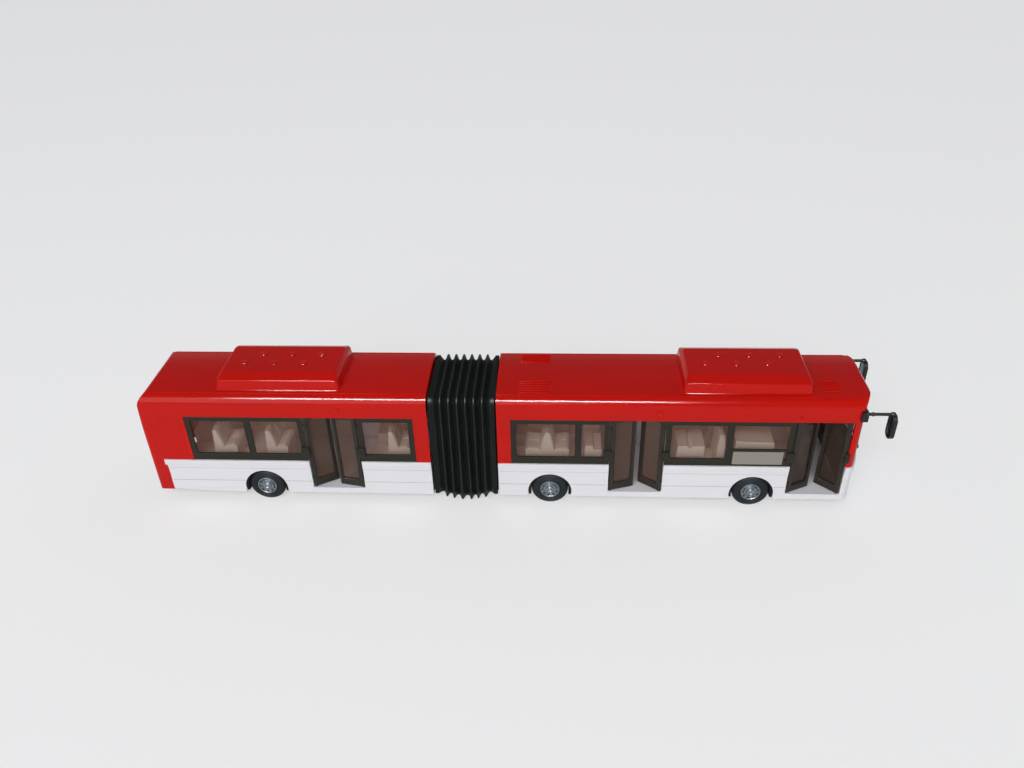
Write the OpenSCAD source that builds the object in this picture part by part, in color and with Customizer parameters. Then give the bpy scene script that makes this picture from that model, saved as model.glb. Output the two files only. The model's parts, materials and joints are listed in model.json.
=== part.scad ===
// Toy articulated city bus: two hollow cars on three axles, hinged at a pleated bellows,
// with three pairs of doors that swing inwards on the right-hand side.
// Stations run forward from the rear end of the bus; Y is across it, Z is up from the floor.

/* [Lengths] */
// Length of the rear car's body
rear_len = 151.3; // [148:0.1:190]
// Gap between the two cars, which the bellows fills
gap_len = 35.5; // [30:0.5:44]
// Length of the front car's body
front_len = 188.2; // [186:0.1:230]
// How far the mirrors reach ahead of the nose
mirror_reach = 9; // [6:0.5:12]

/* [Section] */
// Width over the red side walls
body_w = 48; // [44:0.5:60]
// Height of the gutter line along the roof
gutter_z = 68.3; // [62:0.1:84]
// Rise of the roof from gutter to centre line
roof_crown = 1.3; // [0.5:0.1:2.5]
// Radius of the shoulder between side wall and roof
shoulder_r = 6; // [4:0.5:8]
// Height of the belt, where the red upper body sits on the white skirt
belt_z = 27.6; // [25:0.1:34]
// Height of the skirt's lower edge
skirt_z = 6; // [5.5:0.1:8]
// Top of the passenger floor and of the door sills
floor_z = 9.5; // [9:0.1:11]
// Thickness of the body, skirt and floor walls
wall = 1.5; // [1.2:0.1:2]
// Radius of the upright corners at the rear end
tail_r = 2.4; // [2.2:0.1:5]
// How far the upper half of the tail leans forward
tail_lean = 1.6; // [0.5:0.1:3]
// Radius of the upright corners at the nose
nose_r = 4; // [3:0.5:5]
// Radius of the nose's bow, seen from above
bow_r = 52; // [48:1:120]
// How far the skirt's lip stands proud of the side
lip_out = 0.6; // [0.3:0.1:1]
// Height of the skirt's lip
lip_h = 3.2; // [2:0.1:4]
// Height of the shallow band under the lip
band_h = 2; // [1:0.1:3]
// Height of the crease along the skirt, above its lower edge
crease_h = 7.8; // [5:0.1:9]

/* [Windows] */
// Distance from the window heads to the gutter
head_drop = 12.6; // [11.5:0.1:15]
// Height of the frame below the panes
pane_sill = 4.2; // [3:0.1:6]
// Height of the frame above the panes
pane_head = 2.2; // [1.5:0.1:4]
// Width of the frame at the end of a row of panes
pane_end = 2.4; // [1.5:0.1:4]
// Width of the bar between two panes
mullion = 2.6; // [2:0.1:4]
// Length of the solid quarter behind the rear car's windows
tail_panel = 24; // [18:0.5:30]
// Thickness of the glazing
glass_t = 0.6; // [0.4:0.1:0.6]
// How far the window frames lie behind the red side
frame_in = 0.2; // [0.1:0.1:0.5]

/* [Doors] */
// Width of each doorway
door_w = 28.3; // [26:0.1:34]
// From the rear doorway to the front end of the rear car
rear_door_back = 36.8; // [34:0.1:44]
// From the middle doorway to the rear end of the front car
middle_door_back = 57.9; // [56:0.1:66]
// From the front doorway to where the nose starts to round
front_door_back = 0.835; // [0.8:0.005:4]
// Thickness of a door leaf
leaf_t = 1.8; // [1.4:0.1:2.2]
// Radius of the leaf's hinge pins
hinge_pin_r = 0.6; // [0.4:0.05:0.7]
// Opening angle of the rear door's two leaves, aft then fore
rear_door_open = [31, 11]; // [0:1:80]
// Opening angle of the middle door's two leaves, aft then fore
middle_door_open = [18, 36]; // [0:1:80]
// Opening angle of the front door's two leaves, aft then fore
front_door_open = [26, 42]; // [0:1:80]

/* [Wheels] */
// Radius of the tyres
tyre_r = 9.75; // [9:0.05:10.4]
// Width of the tyres
tyre_w = 7.4; // [5:0.1:9]
// Radius of the hubs
hub_r = 5.2; // [4.5:0.1:6.5]
// Radius of the axle rods
axle_r = 1.2; // [0.8:0.05:1.5]
// Radius of the wheel arches
arch_r = 11.6; // [11.2:0.1:12.4]
// Station of the rear axle
rear_axle_x = 60.3; // [56:0.1:64]
// From the rear end of the front car to the middle axle
middle_axle_back = 27.2; // [25:0.1:30]
// From the front axle to the front doorway
front_axle_back = 17.5; // [16.5:0.1:20]

/* [Bellows] */
// Number of ridges between the two end flanges
folds = 6; // [4:1:8]
// Width of each ridge
ridge_w = 1; // [0.6:0.1:1.4]
// Depth of each fold
fold_depth = 3.2; // [2:0.1:4.5]
// Radius of the pivot pin
pivot_r = 2.5; // [2:0.1:3.5]
// Thickness of the two hinge tongues
tongue_t = 1.6; // [1.2:0.1:1.7]

/* [Roof units] */
// Length of each roof unit
unit_len = 64.5; // [50:0.5:66]
// Height of a roof unit above the gutter line
unit_h = 8.3; // [6:0.1:10]
// Station of the rear car's roof unit
rear_unit_x = 42.5; // [36:0.5:50]
// From the front car's roof unit to the nose
front_unit_back = 30.2; // [28:0.1:40]
// Radius of the round caps on a roof unit
cap_r = 1.9; // [1.5:0.1:2.2]

/* [Lamps and signs] */
// Height of the destination panel
sign_h = 6; // [4:0.1:7]
// Height of the headlamps
lamp_h = 5.5; // [4:0.1:7]
// Width of the headlamps
lamp_w = 7; // [5:0.1:8]
// Width of the tail lamps
tail_lamp_w = 2.4; // [1.5:0.1:3]
// Height of the route board in the window behind the front door
board_h = 8; // [6:0.1:9]

/* [Hidden] */
$fn = 48;

// clearances
slip = 0.05;       // radial running clearance of pins and axles
seat_gap = 0.1;    // between fixed pieces that slot together
swing_gap = 0.3;   // between pieces that move past one another
eps = 0.01;

// main stations and levels
half_w = body_w / 2;
gap_x0 = rear_len;
gap_x1 = rear_len + gap_len;
nose_x = gap_x1 + front_len;
pivot_x = (gap_x0 + gap_x1) / 2;
middle_axle_x = gap_x1 + middle_axle_back;
axle_z = tyre_r;
roof_z = gutter_z + roof_crown;
head_z = gutter_z - head_drop;
origin_x = (nose_x + mirror_reach) / 2;
inner_w = half_w - wall;
shoulder_z = gutter_z - shoulder_r;
gutter_y = half_w - 4.2;
lean_z = head_z - 16;
lean_a = atan(tail_lean / (shoulder_z - lean_z));
tail_top_r = 9;
corner_x = nose_x - bow_r + sqrt(pow(bow_r - nose_r, 2) - pow(half_w - nose_r, 2));

// doorways: station of the aft jamb
rear_door_x = rear_len - rear_door_back - door_w;
middle_door_x = gap_x1 + middle_door_back;
front_door_x = corner_x - front_door_back - door_w;
front_axle_x = front_door_x - front_axle_back;
hinge_in = leaf_t / 2 + swing_gap;
hinge_y = -(half_w - leaf_t / 2 - 0.4);
leaf_len = door_w / 2 - hinge_in - 0.2;
leaf_z0 = floor_z + 0.5;
leaf_z1 = head_z - swing_gap;
rail_h = 2.4;
pin_z0 = floor_z - wall + 0.2;
pin_z1 = head_z + rail_h - 0.8;

// window rows: ends and the bars between panes
rear_row = [tail_panel, rear_len - 7.5];
front_row = [gap_x1 + 7, front_door_x + door_w];
rear_bar = 56.8;
front_bar_a = gap_x1 + 41.7;
front_bar_b = nose_x - 69.6;
pillar_x = nose_x - 5.6;     // where the windscreen starts behind the nose
pane_y = inner_w + glass_t;  // where the panes meet their frames
screen_top = head_z - 0.5;

// under-floor parts
plate_z = 4.8;
plate_t = floor_z - wall - plate_z;
tongue_half = 8;
pin_head_t = 0.9;
front_tongue_z = plate_z + pin_head_t + swing_gap;
rear_tongue_z = front_tongue_z + tongue_t + swing_gap;
tunnel_half = 12.8;
tunnel_top = 21.8;
spine_half = 11.2;
bearing_w = 2.4;
wheel_out = half_w - 0.8;
rod_half = wheel_out - 1.6;
tail_cap = 8.5;
tail_rise = 1.6;
tail_rise_len = 28;
bellows_in = 0.9;
sleeve_t = 1.1;
collar_len = 0.8;
flange_len = 2;

// steps of the skirt's outer face: how far out, and from which level to which
skirt_steps = [
    [0, skirt_z, belt_z],
    [lip_out, belt_z - lip_h, belt_z],
    [lip_out / 2, belt_z - lip_h - band_h, belt_z - lip_h],
    [lip_out / 4, skirt_z, skirt_z + crease_h]
];

// seats: trays over the wheel tunnels, benches on them
tray_z = tunnel_top + wall;
tray_t = 1.6;
tunnel_clear = tunnel_half + wall + seat_gap;
aisle_half = 5;
cushion_z = 11;
back_foot = 3.6;
back_t = 2;

// wheels: outer face of the hubs, their bosses, shoulder radius of the tyres
hub_out = wheel_out + 0.3;
boss_r = 2.2;
tyre_shoulder_r = 1.2;

// door keepers and mirrors
keeper_len = 4.4;
keeper_in = 1.7;
mirror_half = 3.4;

// tail screen, grille, lamps and signs
screen_half = half_w - 7;
rear_screen_z = [belt_z + 8, head_z - 1];
grille_half = half_w - 9;
grille_z = [skirt_z + 6, belt_z + 2];
tail_lamp_y = [half_w - 4.8 - tail_lamp_w, half_w - 4.8];
tail_lamp_z = [skirt_z + 7, belt_z];
recess_t = 1;
sign_half = half_w - 7;
sign_z = [screen_top + 0.8, screen_top + 0.8 + sign_h];
sign_t = 0.8;
lamp_z = [skirt_z + 7, skirt_z + 7 + lamp_h];
lamp_y = [half_w - 4 - lamp_w, half_w - 4];
cap_pitch = 15.6;
cap_start = 12.3;
board_x = [front_bar_b + mullion / 2 + 1, front_door_x - 4.3];
board_z = [belt_z + 1.4, belt_z + 1.4 + board_h];
button_z = head_z + 4.8;

// door leaf: rails at the bottom and the top, stiles at the hinge and at the free end
leaf_rail = [3.8, 1.6];
leaf_stile = [1.1, 1.4];
leaf_pane_t = 0.7;
leaf_colour = [0.2, 0.18, 0.15];
glass_colour = [0.35, 0.28, 0.22];
frame_colour = [0.14, 0.13, 0.1];
black = [0.07, 0.07, 0.08];

module at_row() translate([-origin_x, 0, 0]) children();
module along_x(x0, x1) translate([x0, 0, 0]) rotate([90, 0, 90]) linear_extrude(x1 - x0) children();
module along_z(z0, z1) translate([0, 0, z0]) linear_extrude(z1 - z0) children();
module across(y0, y1) translate([0, y1, 0]) rotate([90, 0, 0]) linear_extrude(y1 - y0) children();
module block(x0, x1, y0, y1, z0, z1) translate([x0, y0, z0]) cube([x1 - x0, y1 - y0, z1 - z0]);
module both_sides() { children(); mirror([0, 1, 0]) children(); }
module rod_y(r, y0, y1) translate([0, y0, 0]) rotate([-90, 0, 0]) cylinder(r = r, h = y1 - y0);

// cross-section of the body, grown or shrunk by e, from z0 up to the shoulders and roof
module section(e = 0, z0 = 0) {
    w = half_w + e;
    r = shoulder_r + e;
    translate([-w, z0]) square([2 * w, shoulder_z - z0]);
    for (s = [-1, 1]) translate([s * (w - r), shoulder_z]) circle(r);
    translate([-(w - r), shoulder_z - eps]) square([2 * (w - r), r + eps]);
}

// the slightly raised roof skin between the two gutter lines
module roof_skin() {
    crown_r = (pow(gutter_y, 2) + pow(roof_crown, 2)) / (2 * roof_crown);
    intersection() {
        translate([0, roof_z - crown_r]) circle(crown_r, $fn = 360);
        translate([-gutter_y, gutter_z - 1]) square([2 * gutter_y, roof_crown + 2]);
    }
}

// plan of the rear car: square at the bellows, rounded at the tail
module tail_plan(e = 0) {
    r = tail_r + e;
    w = half_w + e;
    for (s = [-1, 1]) translate([tail_r, s * (w - r)]) circle(r);
    translate([-e, -(w - r)]) square([r + 1, 2 * (w - r)]);
    translate([tail_r, -w]) square([rear_len - tail_r, 2 * w]);
}

// plan of the front car: square at the bellows, bowed at the nose with tangent round corners
module nose_plan(e = 0) {
    w = half_w + e;
    bow_x = nose_x - bow_r;
    reach = 1.2 * bow_r / (corner_x - bow_x);
    for (s = [-1, 1]) translate([corner_x, s * (half_w - nose_r)]) circle(nose_r + e);
    translate([gap_x1, -w]) square([corner_x - gap_x1, 2 * w]);
    intersection() {
        translate([bow_x, 0]) circle(bow_r + e, $fn = 360);
        translate([bow_x, 0]) polygon([[0, 0], for (s = [-1, 1])
            [reach * (corner_x - bow_x), s * reach * (half_w - nose_r)]]);
    }
}

// side profiles: the roof rounds down to the tail and to the nose
module tail_profile(e = 0) {
    r = tail_top_r + e;
    round_z = roof_z - tail_top_r;
    round_x = (tail_top_r + (round_z - lean_z) * sin(lean_a)) / cos(lean_a);
    translate([round_x, round_z]) circle(r);
    translate([round_x, 0]) square([rear_len - round_x, roof_z + e]);
    intersection() {
        translate([-e, 0]) square([2 * round_x, round_z + r * sin(lean_a)]);
        translate([0, lean_z]) rotate(-lean_a) translate([-e, -roof_z]) square([rear_len, 2 * roof_z]);
    }
}
module nose_profile(e = 0) {
    r = shoulder_r + e;
    x1 = nose_x + e;
    top = roof_z + e;
    translate([x1 - r, top - r]) circle(r);
    translate([x1 - r, 0]) square([r, top - r]);
    translate([gap_x1, 0]) square([x1 - r - gap_x1, top]);
}

module rear_solid(e = 0, z0 = 0) intersection() {
    along_x(-1, rear_len) { section(e, z0); if (e == 0) roof_skin(); }
    along_z(z0, roof_z + 1) tail_plan(e);
    across(-body_w, body_w) tail_profile(e);
}
module front_solid(e = 0, z0 = 0) intersection() {
    along_x(gap_x1, nose_x + 1) { section(e, z0); if (e == 0) roof_skin(); }
    along_z(z0, roof_z + 1) nose_plan(e);
    across(-body_w, body_w) nose_profile(e);
}

// low round button on the right-hand side over a doorway
module door_button(x) translate([x, 0, button_z]) rod_y(1.5, -half_w - 0.35, -inner_w);

// rail above a doorway that takes the upper hinge pins
module door_rail(x) block(x - 1, x + door_w + 1, -inner_w, hinge_y + 2.2, head_z, head_z + rail_h);
module hinge_bores(x, z0, z1)
    for (hx = [x + hinge_in, x + door_w - hinge_in])
        translate([hx, hinge_y, z0]) cylinder(r = hinge_pin_r + slip, h = z1 - z0);

module rear_shell() color("firebrick") at_row() union() {
    difference() {
        rear_solid(0, skirt_z + 1);
        difference() {
            rear_solid(-wall, 0);
            door_rail(rear_door_x);
        }
        // the skirt takes over below the belt, ahead of the red tail
        block(tail_cap, rear_len + 1, -body_w, body_w, 0, belt_z);
        // one opening a side for windows and doors
        block(rear_row[0], rear_row[1], -body_w, body_w, 0, head_z);
        hinge_bores(rear_door_x, head_z - 1, pin_z1 + 0.2);
        // tail screen, lamps and grille
        block(-2, wall + tail_lean + 1, -screen_half, screen_half, rear_screen_z[0], rear_screen_z[1]);
        block(-2, wall + 1, -grille_half, grille_half, grille_z[0], grille_z[1]);
        both_sides() block(-2, recess_t, tail_lamp_y[0], tail_lamp_y[1], tail_lamp_z[0], tail_lamp_z[1]);
    }
    door_button(rear_door_x + door_w * 2 / 3);
}

module front_shell() color("firebrick") at_row() union() {
    difference() {
        front_solid(0, belt_z);
        difference() {
            front_solid(-wall, 0);
            door_rail(middle_door_x);
            door_rail(front_door_x);
        }
        block(front_row[0], front_row[1], -body_w, body_w, 0, head_z);
        for (x = [middle_door_x, front_door_x]) hinge_bores(x, head_z - 1, pin_z1 + 0.2);
        // windscreen opening, wrapped round the nose
        block(pillar_x, nose_x + 1, -body_w, body_w, 0, screen_top);
        // recess for the destination panel
        along_z(sign_z[0], sign_z[1]) nose_strip(1, -sign_t, sign_half);
    }
    door_button(middle_door_x + door_w - 4);
}

// plan of a strip round the nose between the offsets out and back, as wide as both halves
module nose_strip(out, back, half) intersection() {
    difference() { nose_plan(out); nose_plan(back); }
    translate([nose_x - 9, -half]) square([14, 2 * half]);
}
// the same at the two headlamps, less a gap all round
module lamp_plan(out, back, gap) intersection() {
    difference() { nose_plan(out); nose_plan(back); }
    translate([nose_x - 9, lamp_y[0] + gap]) square([14, lamp_w - 2 * gap]);
}

// wheel arch cut in both skirts, and the tunnel that covers an axle's wheels
module arch_cut(x) {
    translate([x, 0, axle_z - 0.8]) rod_y(arch_r, -body_w, body_w);
    block(x - arch_r, x + arch_r, -body_w, body_w, 0, axle_z - 0.8);
}
module tunnel(x, inside) {
    grow = inside ? 0 : wall;
    block(x - tunnel_half - grow, x + tunnel_half + grow, -inner_w - (inside ? eps : 0),
        inner_w + (inside ? eps : 0), 0, tunnel_top + grow);
}
module doorway_cut(x) block(x, x + door_w, -body_w, -inner_w + eps, floor_z, belt_z + 1);

module rear_skirt() color("whitesmoke") at_row() difference() {
    union() {
        both_sides() for (s = skirt_steps)
            block(tail_cap - (s[0] == lip_out ? 0.9 : 0), rear_len, inner_w, half_w + s[0], s[1], s[2]);
        block(tail_cap, rear_len, -inner_w, inner_w, floor_z - wall, floor_z);
        difference() {
            tunnel(rear_axle_x, false);
            block(0, rear_len, -body_w, body_w, -1, floor_z - wall);
        }
    }
    // the lip laps over the red tail
    both_sides() block(0, tail_cap, 0, half_w, 0, belt_z + 1);
    tunnel(rear_axle_x, true);
    arch_cut(rear_axle_x);
    doorway_cut(rear_door_x);
    hinge_bores(rear_door_x, floor_z - wall - 1, floor_z + 1);
    // the lower edge rises towards the tail
    across(-body_w, body_w) polygon([[tail_cap - 1, 0], [tail_cap + tail_rise_len, 0],
        [tail_cap + tail_rise_len, skirt_z], [tail_cap - 1, skirt_z + tail_rise]]);
}

module front_skirt() color("whitesmoke") at_row() difference() {
    union() {
        for (s = skirt_steps) along_z(s[1], s[2]) difference() { nose_plan(s[0]); nose_plan(-wall); }
        along_z(floor_z - wall, floor_z) nose_plan(-wall);
        for (x = [middle_axle_x, front_axle_x]) difference() {
            tunnel(x, false);
            block(0, nose_x, -body_w, body_w, -1, floor_z - wall);
        }
    }
    // open end at the bellows
    block(gap_x1 - 1, gap_x1 + wall, -inner_w, inner_w, floor_z, belt_z + 1);
    for (x = [middle_axle_x, front_axle_x]) {
        tunnel(x, true);
        arch_cut(x);
    }
    for (x = [middle_door_x, front_door_x]) {
        doorway_cut(x);
        hinge_bores(x, floor_z - wall - 1, floor_z + 1);
    }
    both_sides() along_z(lamp_z[0], lamp_z[1]) lamp_plan(2, -recess_t, 0);
}

// black base plate of a car, with bearings for its axles
module bearing(x) difference() {
    both_sides() block(x - 3.4, x + 3.4, spine_half - bearing_w, spine_half, plate_z, axle_z + 3.2);
    translate([x, 0, axle_z]) rod_y(axle_r + slip, -half_w, half_w);
}
module wheel_cut(x) both_sides()
    block(x - tunnel_half, x + tunnel_half, spine_half, half_w, 0, floor_z);
// round-ended hinge tongue at level z0, and the neck that joins it to its plate at station x0
module tongue(x0, z0) {
    block(min(x0, pivot_x), max(x0, pivot_x), -tongue_half, tongue_half, z0, z0 + tongue_t);
    translate([pivot_x, 0, z0]) cylinder(r = tongue_half, h = tongue_t);
}
module neck(x0, x1, z1) block(x0, x1, -tongue_half, tongue_half, plate_z, z1);

module rear_chassis() color(black) at_row() difference() {
    union() {
        difference() {
            block(tail_cap + 1, rear_len, -inner_w + seat_gap, inner_w - seat_gap, plate_z, floor_z - wall);
            wheel_cut(rear_axle_x);
        }
        bearing(rear_axle_x);
        tongue(rear_len + seat_gap, rear_tongue_z);
        neck(rear_len - 1, rear_len + 3, floor_z - wall);
        neck(rear_len + seat_gap, rear_len + 3, rear_tongue_z + tongue_t);
    }
    translate([rear_axle_x, 0, axle_z]) rod_y(axle_r + slip, -half_w, half_w);
    translate([pivot_x, 0, 0]) cylinder(r = pivot_r, h = floor_z + 10);
    // the underside rises towards the tail as the skirt does
    across(-body_w, body_w) polygon([[0, 0], [tail_cap + tail_rise_len, 0],
        [tail_cap + tail_rise_len, plate_z], [0, plate_z + tail_rise + 0.6]]);
}

module front_chassis() color(black) at_row() difference() {
    union() {
        difference() {
            along_z(plate_z, floor_z - wall) nose_plan(-wall - seat_gap);
            wheel_cut(middle_axle_x);
            wheel_cut(front_axle_x);
        }
        bearing(middle_axle_x);
        bearing(front_axle_x);
        tongue(gap_x1 + 1, front_tongue_z);
        neck(gap_x1 - 3, gap_x1 + 1, front_tongue_z + tongue_t);
    }
    for (x = [middle_axle_x, front_axle_x])
        translate([x, 0, axle_z]) rod_y(axle_r + slip, -half_w, half_w);
    translate([pivot_x, 0, 0]) cylinder(r = pivot_r + slip, h = floor_z + 10);
}

// pin that hangs from the rear tongue through the front one, held by its head
module pivot_pin() color("silver") at_row() translate([pivot_x, 0, plate_z]) {
    cylinder(r = pivot_r + 1.7, h = pin_head_t);
    cylinder(r = pivot_r, h = rear_tongue_z + tongue_t - plate_z);
}

// bench seat seen from the side: cushion ahead of the back when dir is 1
module bench(x, back_h, dir = 1, depth = 10) translate([x, 0, tray_z])
    mirror([dir < 0 ? 1 : 0, 0, 0]) both_sides() across(aisle_half, inner_w - 2.2)
        polygon([[-2, 0], [depth, 0], [depth + 0.6, cushion_z - 0.5], [depth - 0.6, cushion_z + 0.5],
            [back_foot, cushion_z - 0.4], [back_t / 2, back_h], [-back_t / 2, back_h + 0.4], [-2.4, 1]]);

// tray that carries benches over a wheel tunnel, and the riser that carries it beyond
module tray(x0, x1) both_sides() block(x0, x1, aisle_half, inner_w - 1, tray_z, tray_z + tray_t);
module riser(x0, x1) both_sides() block(x0, x1, aisle_half, inner_w - 1, floor_z, tray_z + tray_t);

module rear_seats() color("antiquewhite") at_row() {
    riser(tail_cap + 4, rear_axle_x - tunnel_clear);
    tray(tail_cap + 4, rear_axle_x + tunnel_clear);
    riser(rear_door_x + door_w + 3, rear_len - 4);
    bench(36.9, 21);
    bench(rear_axle_x + 4.9, 21, 1, 9);
    bench(rear_len - 20.7, 21, 1, 9);
}

module front_seats() color("antiquewhite") at_row() {
    riser(gap_x1 + 5, middle_axle_x - tunnel_clear);
    tray(gap_x1 + 5, middle_door_x - 4.5);
    riser(middle_axle_x + tunnel_clear, middle_door_x - 4.5);
    for (dir = [-1, 1]) bench(middle_axle_x - 1.4, 21.4, dir, 11);
    low_box(middle_axle_x + 17.5);
    riser(middle_door_x + door_w + 4, front_axle_x - tunnel_clear);
    tray(middle_door_x + door_w + 4, front_axle_x + tunnel_half);
    notched_box(middle_door_x + door_w + 6);
    bench(front_axle_x - 18, 21, 1, 5);
    wheel_box(front_axle_x - 11.5);
    driver_seat(nose_x - 28, 6.5);
}

// low box that two benches share, notched between their backs
module notched_box(x) both_sides() across(aisle_half, inner_w - 2.2) translate([x, tray_z])
    polygon([[0, 0], [15.2, 0], [15, 14], [8.8, 14], [8, 12.4], [7, 12.4], [6.2, 14], [1, 14]]);

// stepped box without a back, ahead of the middle axle
module low_box(x) both_sides() across(aisle_half, inner_w - 2.2) translate([x, tray_z])
    polygon([[0, 0], [9.5, 0], [9.5, 11], [5.5, 11], [4.8, 13.5], [0.6, 13.5]]);

// moulded box over the front wheels, seen from the side
module wheel_box(x) both_sides() across(aisle_half, inner_w - 2.2) translate([x, tray_z])
    polygon([[0, 0], [20, 0], [21.5, 8], [20.5, 16.6], [0.8, 17.4]]);

module driver_seat(x, y) translate([x, y, floor_z]) {
    block(0, 7, 2, 9, 0, 10);
    across(0, 11) polygon([[-2, 10], [9, 10], [9, 14], [1.4, 13.4], [-0.8, 27], [-3, 27]]);
}

// edges of the panes in a row with ends x0 and x1 and bars at the stations in bars
function pane_edges(x0, x1, bars) =
    concat([x0 + pane_end], [for (b = bars) each [b - mullion / 2, b + mullion / 2]], [x1 - pane_end]);
module pane_frame(x0, x1, bars) difference() {
    block(x0 + seat_gap, x1 - seat_gap, pane_y, half_w - frame_in, belt_z, head_z - seat_gap);
    edges = pane_edges(x0, x1, bars);
    for (i = [0:2:len(edges) - 2])
        block(edges[i], edges[i + 1], inner_w - 1, half_w + 1, belt_z + pane_sill, head_z - pane_head);
}
module pane_sheet(x0, x1)
    block(x0 + seat_gap, x1 - seat_gap, inner_w, pane_y, belt_z, head_z - seat_gap);
module on_right() mirror([0, 1, 0]) children();
// block that keeps a door leaf's hinge in its jamb, standing proud of the side; it overhangs
// the doorway by keeper_in, and side is the direction away from the doorway
module keeper(x, side, length = keeper_len, back = frame_in + 0.1)
    translate([x, 0, 0]) mirror([side > 0 ? 0 : 1, 0, 0])
        block(-keeper_in, length - keeper_in, -half_w - 0.9, -half_w + back, belt_z + 3.4, belt_z + 8.6);

module rear_window_frames() color(frame_colour) at_row() {
    on_right() pane_frame(rear_row[0], rear_door_x, [rear_bar]);
    on_right() pane_frame(rear_door_x + door_w, rear_row[1], []);
    pane_frame(rear_row[0], rear_row[1], [rear_bar, rear_door_x - 1, rear_door_x + door_w + 1]);
    keeper(rear_door_x, -1);
    keeper(rear_door_x + door_w, 1);
}
module rear_window_glass() color(glass_colour) at_row() {
    on_right() pane_sheet(rear_row[0], rear_door_x);
    on_right() pane_sheet(rear_door_x + door_w, rear_row[1]);
    pane_sheet(rear_row[0], rear_row[1]);
}
module front_window_frames() color(frame_colour) at_row() {
    on_right() pane_frame(front_row[0], middle_door_x, [front_bar_a]);
    on_right() pane_frame(middle_door_x + door_w, front_door_x, [front_bar_b]);
    on_right() block(front_bar_b, front_door_x - 1, pane_y, half_w - frame_in,
        board_z[1] + seat_gap, board_z[1] + 1.4);
    pane_frame(front_row[0], front_row[1],
        [front_bar_a, middle_door_x - 1, middle_door_x + door_w + 1, front_bar_b, front_door_x - 1]);
    keeper(middle_door_x, -1);
    keeper(middle_door_x + door_w, 1);
    keeper(front_door_x, -1);
    keeper(front_door_x + door_w, 1, 2.2, 0);
}
module front_window_glass() color(glass_colour) at_row() {
    on_right() pane_sheet(front_row[0], middle_door_x);
    on_right() pane_sheet(middle_door_x + door_w, front_door_x);
    pane_sheet(front_row[0], front_row[1]);
}

// blank board that lies on the frame below the last pane before the front door
module route_board() color("lightgray") at_row() on_right()
    block(board_x[0], board_x[1], half_w - frame_in, half_w + 0.2, board_z[0], board_z[1]);

// moulded roof unit: flat base on the roof, drafted sides, chamfered top, six fan caps
module roof_unit(x) {
    base = half_w - 5.8;
    edge = half_w - 6.4;
    top = half_w - 11.4;
    z0 = gutter_z;
    z1 = gutter_z + 0.72 * unit_h;
    z2 = gutter_z + unit_h;
    difference() {
        intersection() {
            along_x(x, x + unit_len)
                polygon([[-base, z0], [base, z0], [edge, z1], [top, z2], [-top, z2], [-edge, z1]]);
            across(-half_w, half_w)
                polygon([[x, z0], [x + unit_len, z0], [x + unit_len - 1, z1], [x + unit_len - 2.6, z2],
                    [x + 2.6, z2], [x + 1, z1]]);
        }
        along_x(x - 1, x + unit_len + 1) roof_skin();
    }
    for (i = [0:2], s = [0, 1])
        translate([x + cap_start + cap_pitch * (i + s / 2), s == 0 ? -4.2 : 4.2, z2 - eps])
            cylinder(r = cap_r, h = 0.6);
}
module rear_roof_unit() color("firebrick") at_row() roof_unit(rear_unit_x);
module front_roof_unit() color("firebrick") at_row() roof_unit(nose_x - front_unit_back - unit_len);

module rear_screen() color(frame_colour) at_row() intersection() {
    difference() { rear_solid(-0.3); rear_solid(-wall); }
    block(-1, wall + tail_lean + 1, -screen_half + seat_gap, screen_half - seat_gap,
        rear_screen_z[0] + seat_gap, rear_screen_z[1] - seat_gap);
}
module tail_lamps() color("orangered") at_row() both_sides()
    block(0, recess_t, tail_lamp_y[0] + seat_gap, tail_lamp_y[1] - seat_gap,
        tail_lamp_z[0] + seat_gap, tail_lamp_z[1] - seat_gap);
module engine_grille() color([0.12, 0.12, 0.12]) at_row() {
    slats = 7;
    half = grille_half - seat_gap;
    z0 = grille_z[0] + seat_gap;
    pitch = (grille_z[1] - seat_gap - z0) / slats;
    block(wall - 0.6, wall, -half, half, z0, z0 + slats * pitch);
    for (i = [0:slats - 1]) block(0.2, wall, -half, half, z0 + i * pitch, z0 + (i + 0.55) * pitch);
}

// rings that carry the ends of the bellows
module bellows_ring() difference() {
    union() {
        along_x(0, collar_len) section(-bellows_in - fold_depth, skirt_z);
        along_x(collar_len, collar_len + flange_len) section(-bellows_in, skirt_z - 0.4);
    }
    along_x(-1, collar_len + flange_len + 1) {
        section(-bellows_in - fold_depth - sleeve_t, floor_z + 2);
        translate([-tongue_half - 1, 0]) square([2 * tongue_half + 2, floor_z + 3]);
    }
}
module rear_bellows_ring() color(black) at_row() translate([gap_x0, 0, 0]) bellows_ring();
module front_bellows_ring() color(black) at_row()
    translate([gap_x1, 0, 0]) mirror([1, 0, 0]) bellows_ring();

module bellows() color(black) at_row() {
    x0 = gap_x0 + collar_len + flange_len;
    x1 = gap_x1 - collar_len - flange_len;
    valley_w = (x1 - x0 - folds * ridge_w) / (folds + 1);
    difference() {
        union() {
            along_x(x0, x1) section(-bellows_in - fold_depth, skirt_z);
            for (i = [1:folds])
                translate([x0 + i * valley_w + (i - 1) * ridge_w, 0, 0])
                    along_x(0, ridge_w) section(-bellows_in, skirt_z - 1);
        }
        along_x(x0 - 1, x1 + 1) section(-bellows_in - fold_depth - sleeve_t, floor_z + 2);
        block(x0 - 1, x1 + 1, -tongue_half - 2, tongue_half + 2, 0, floor_z + 3);
    }
}

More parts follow.
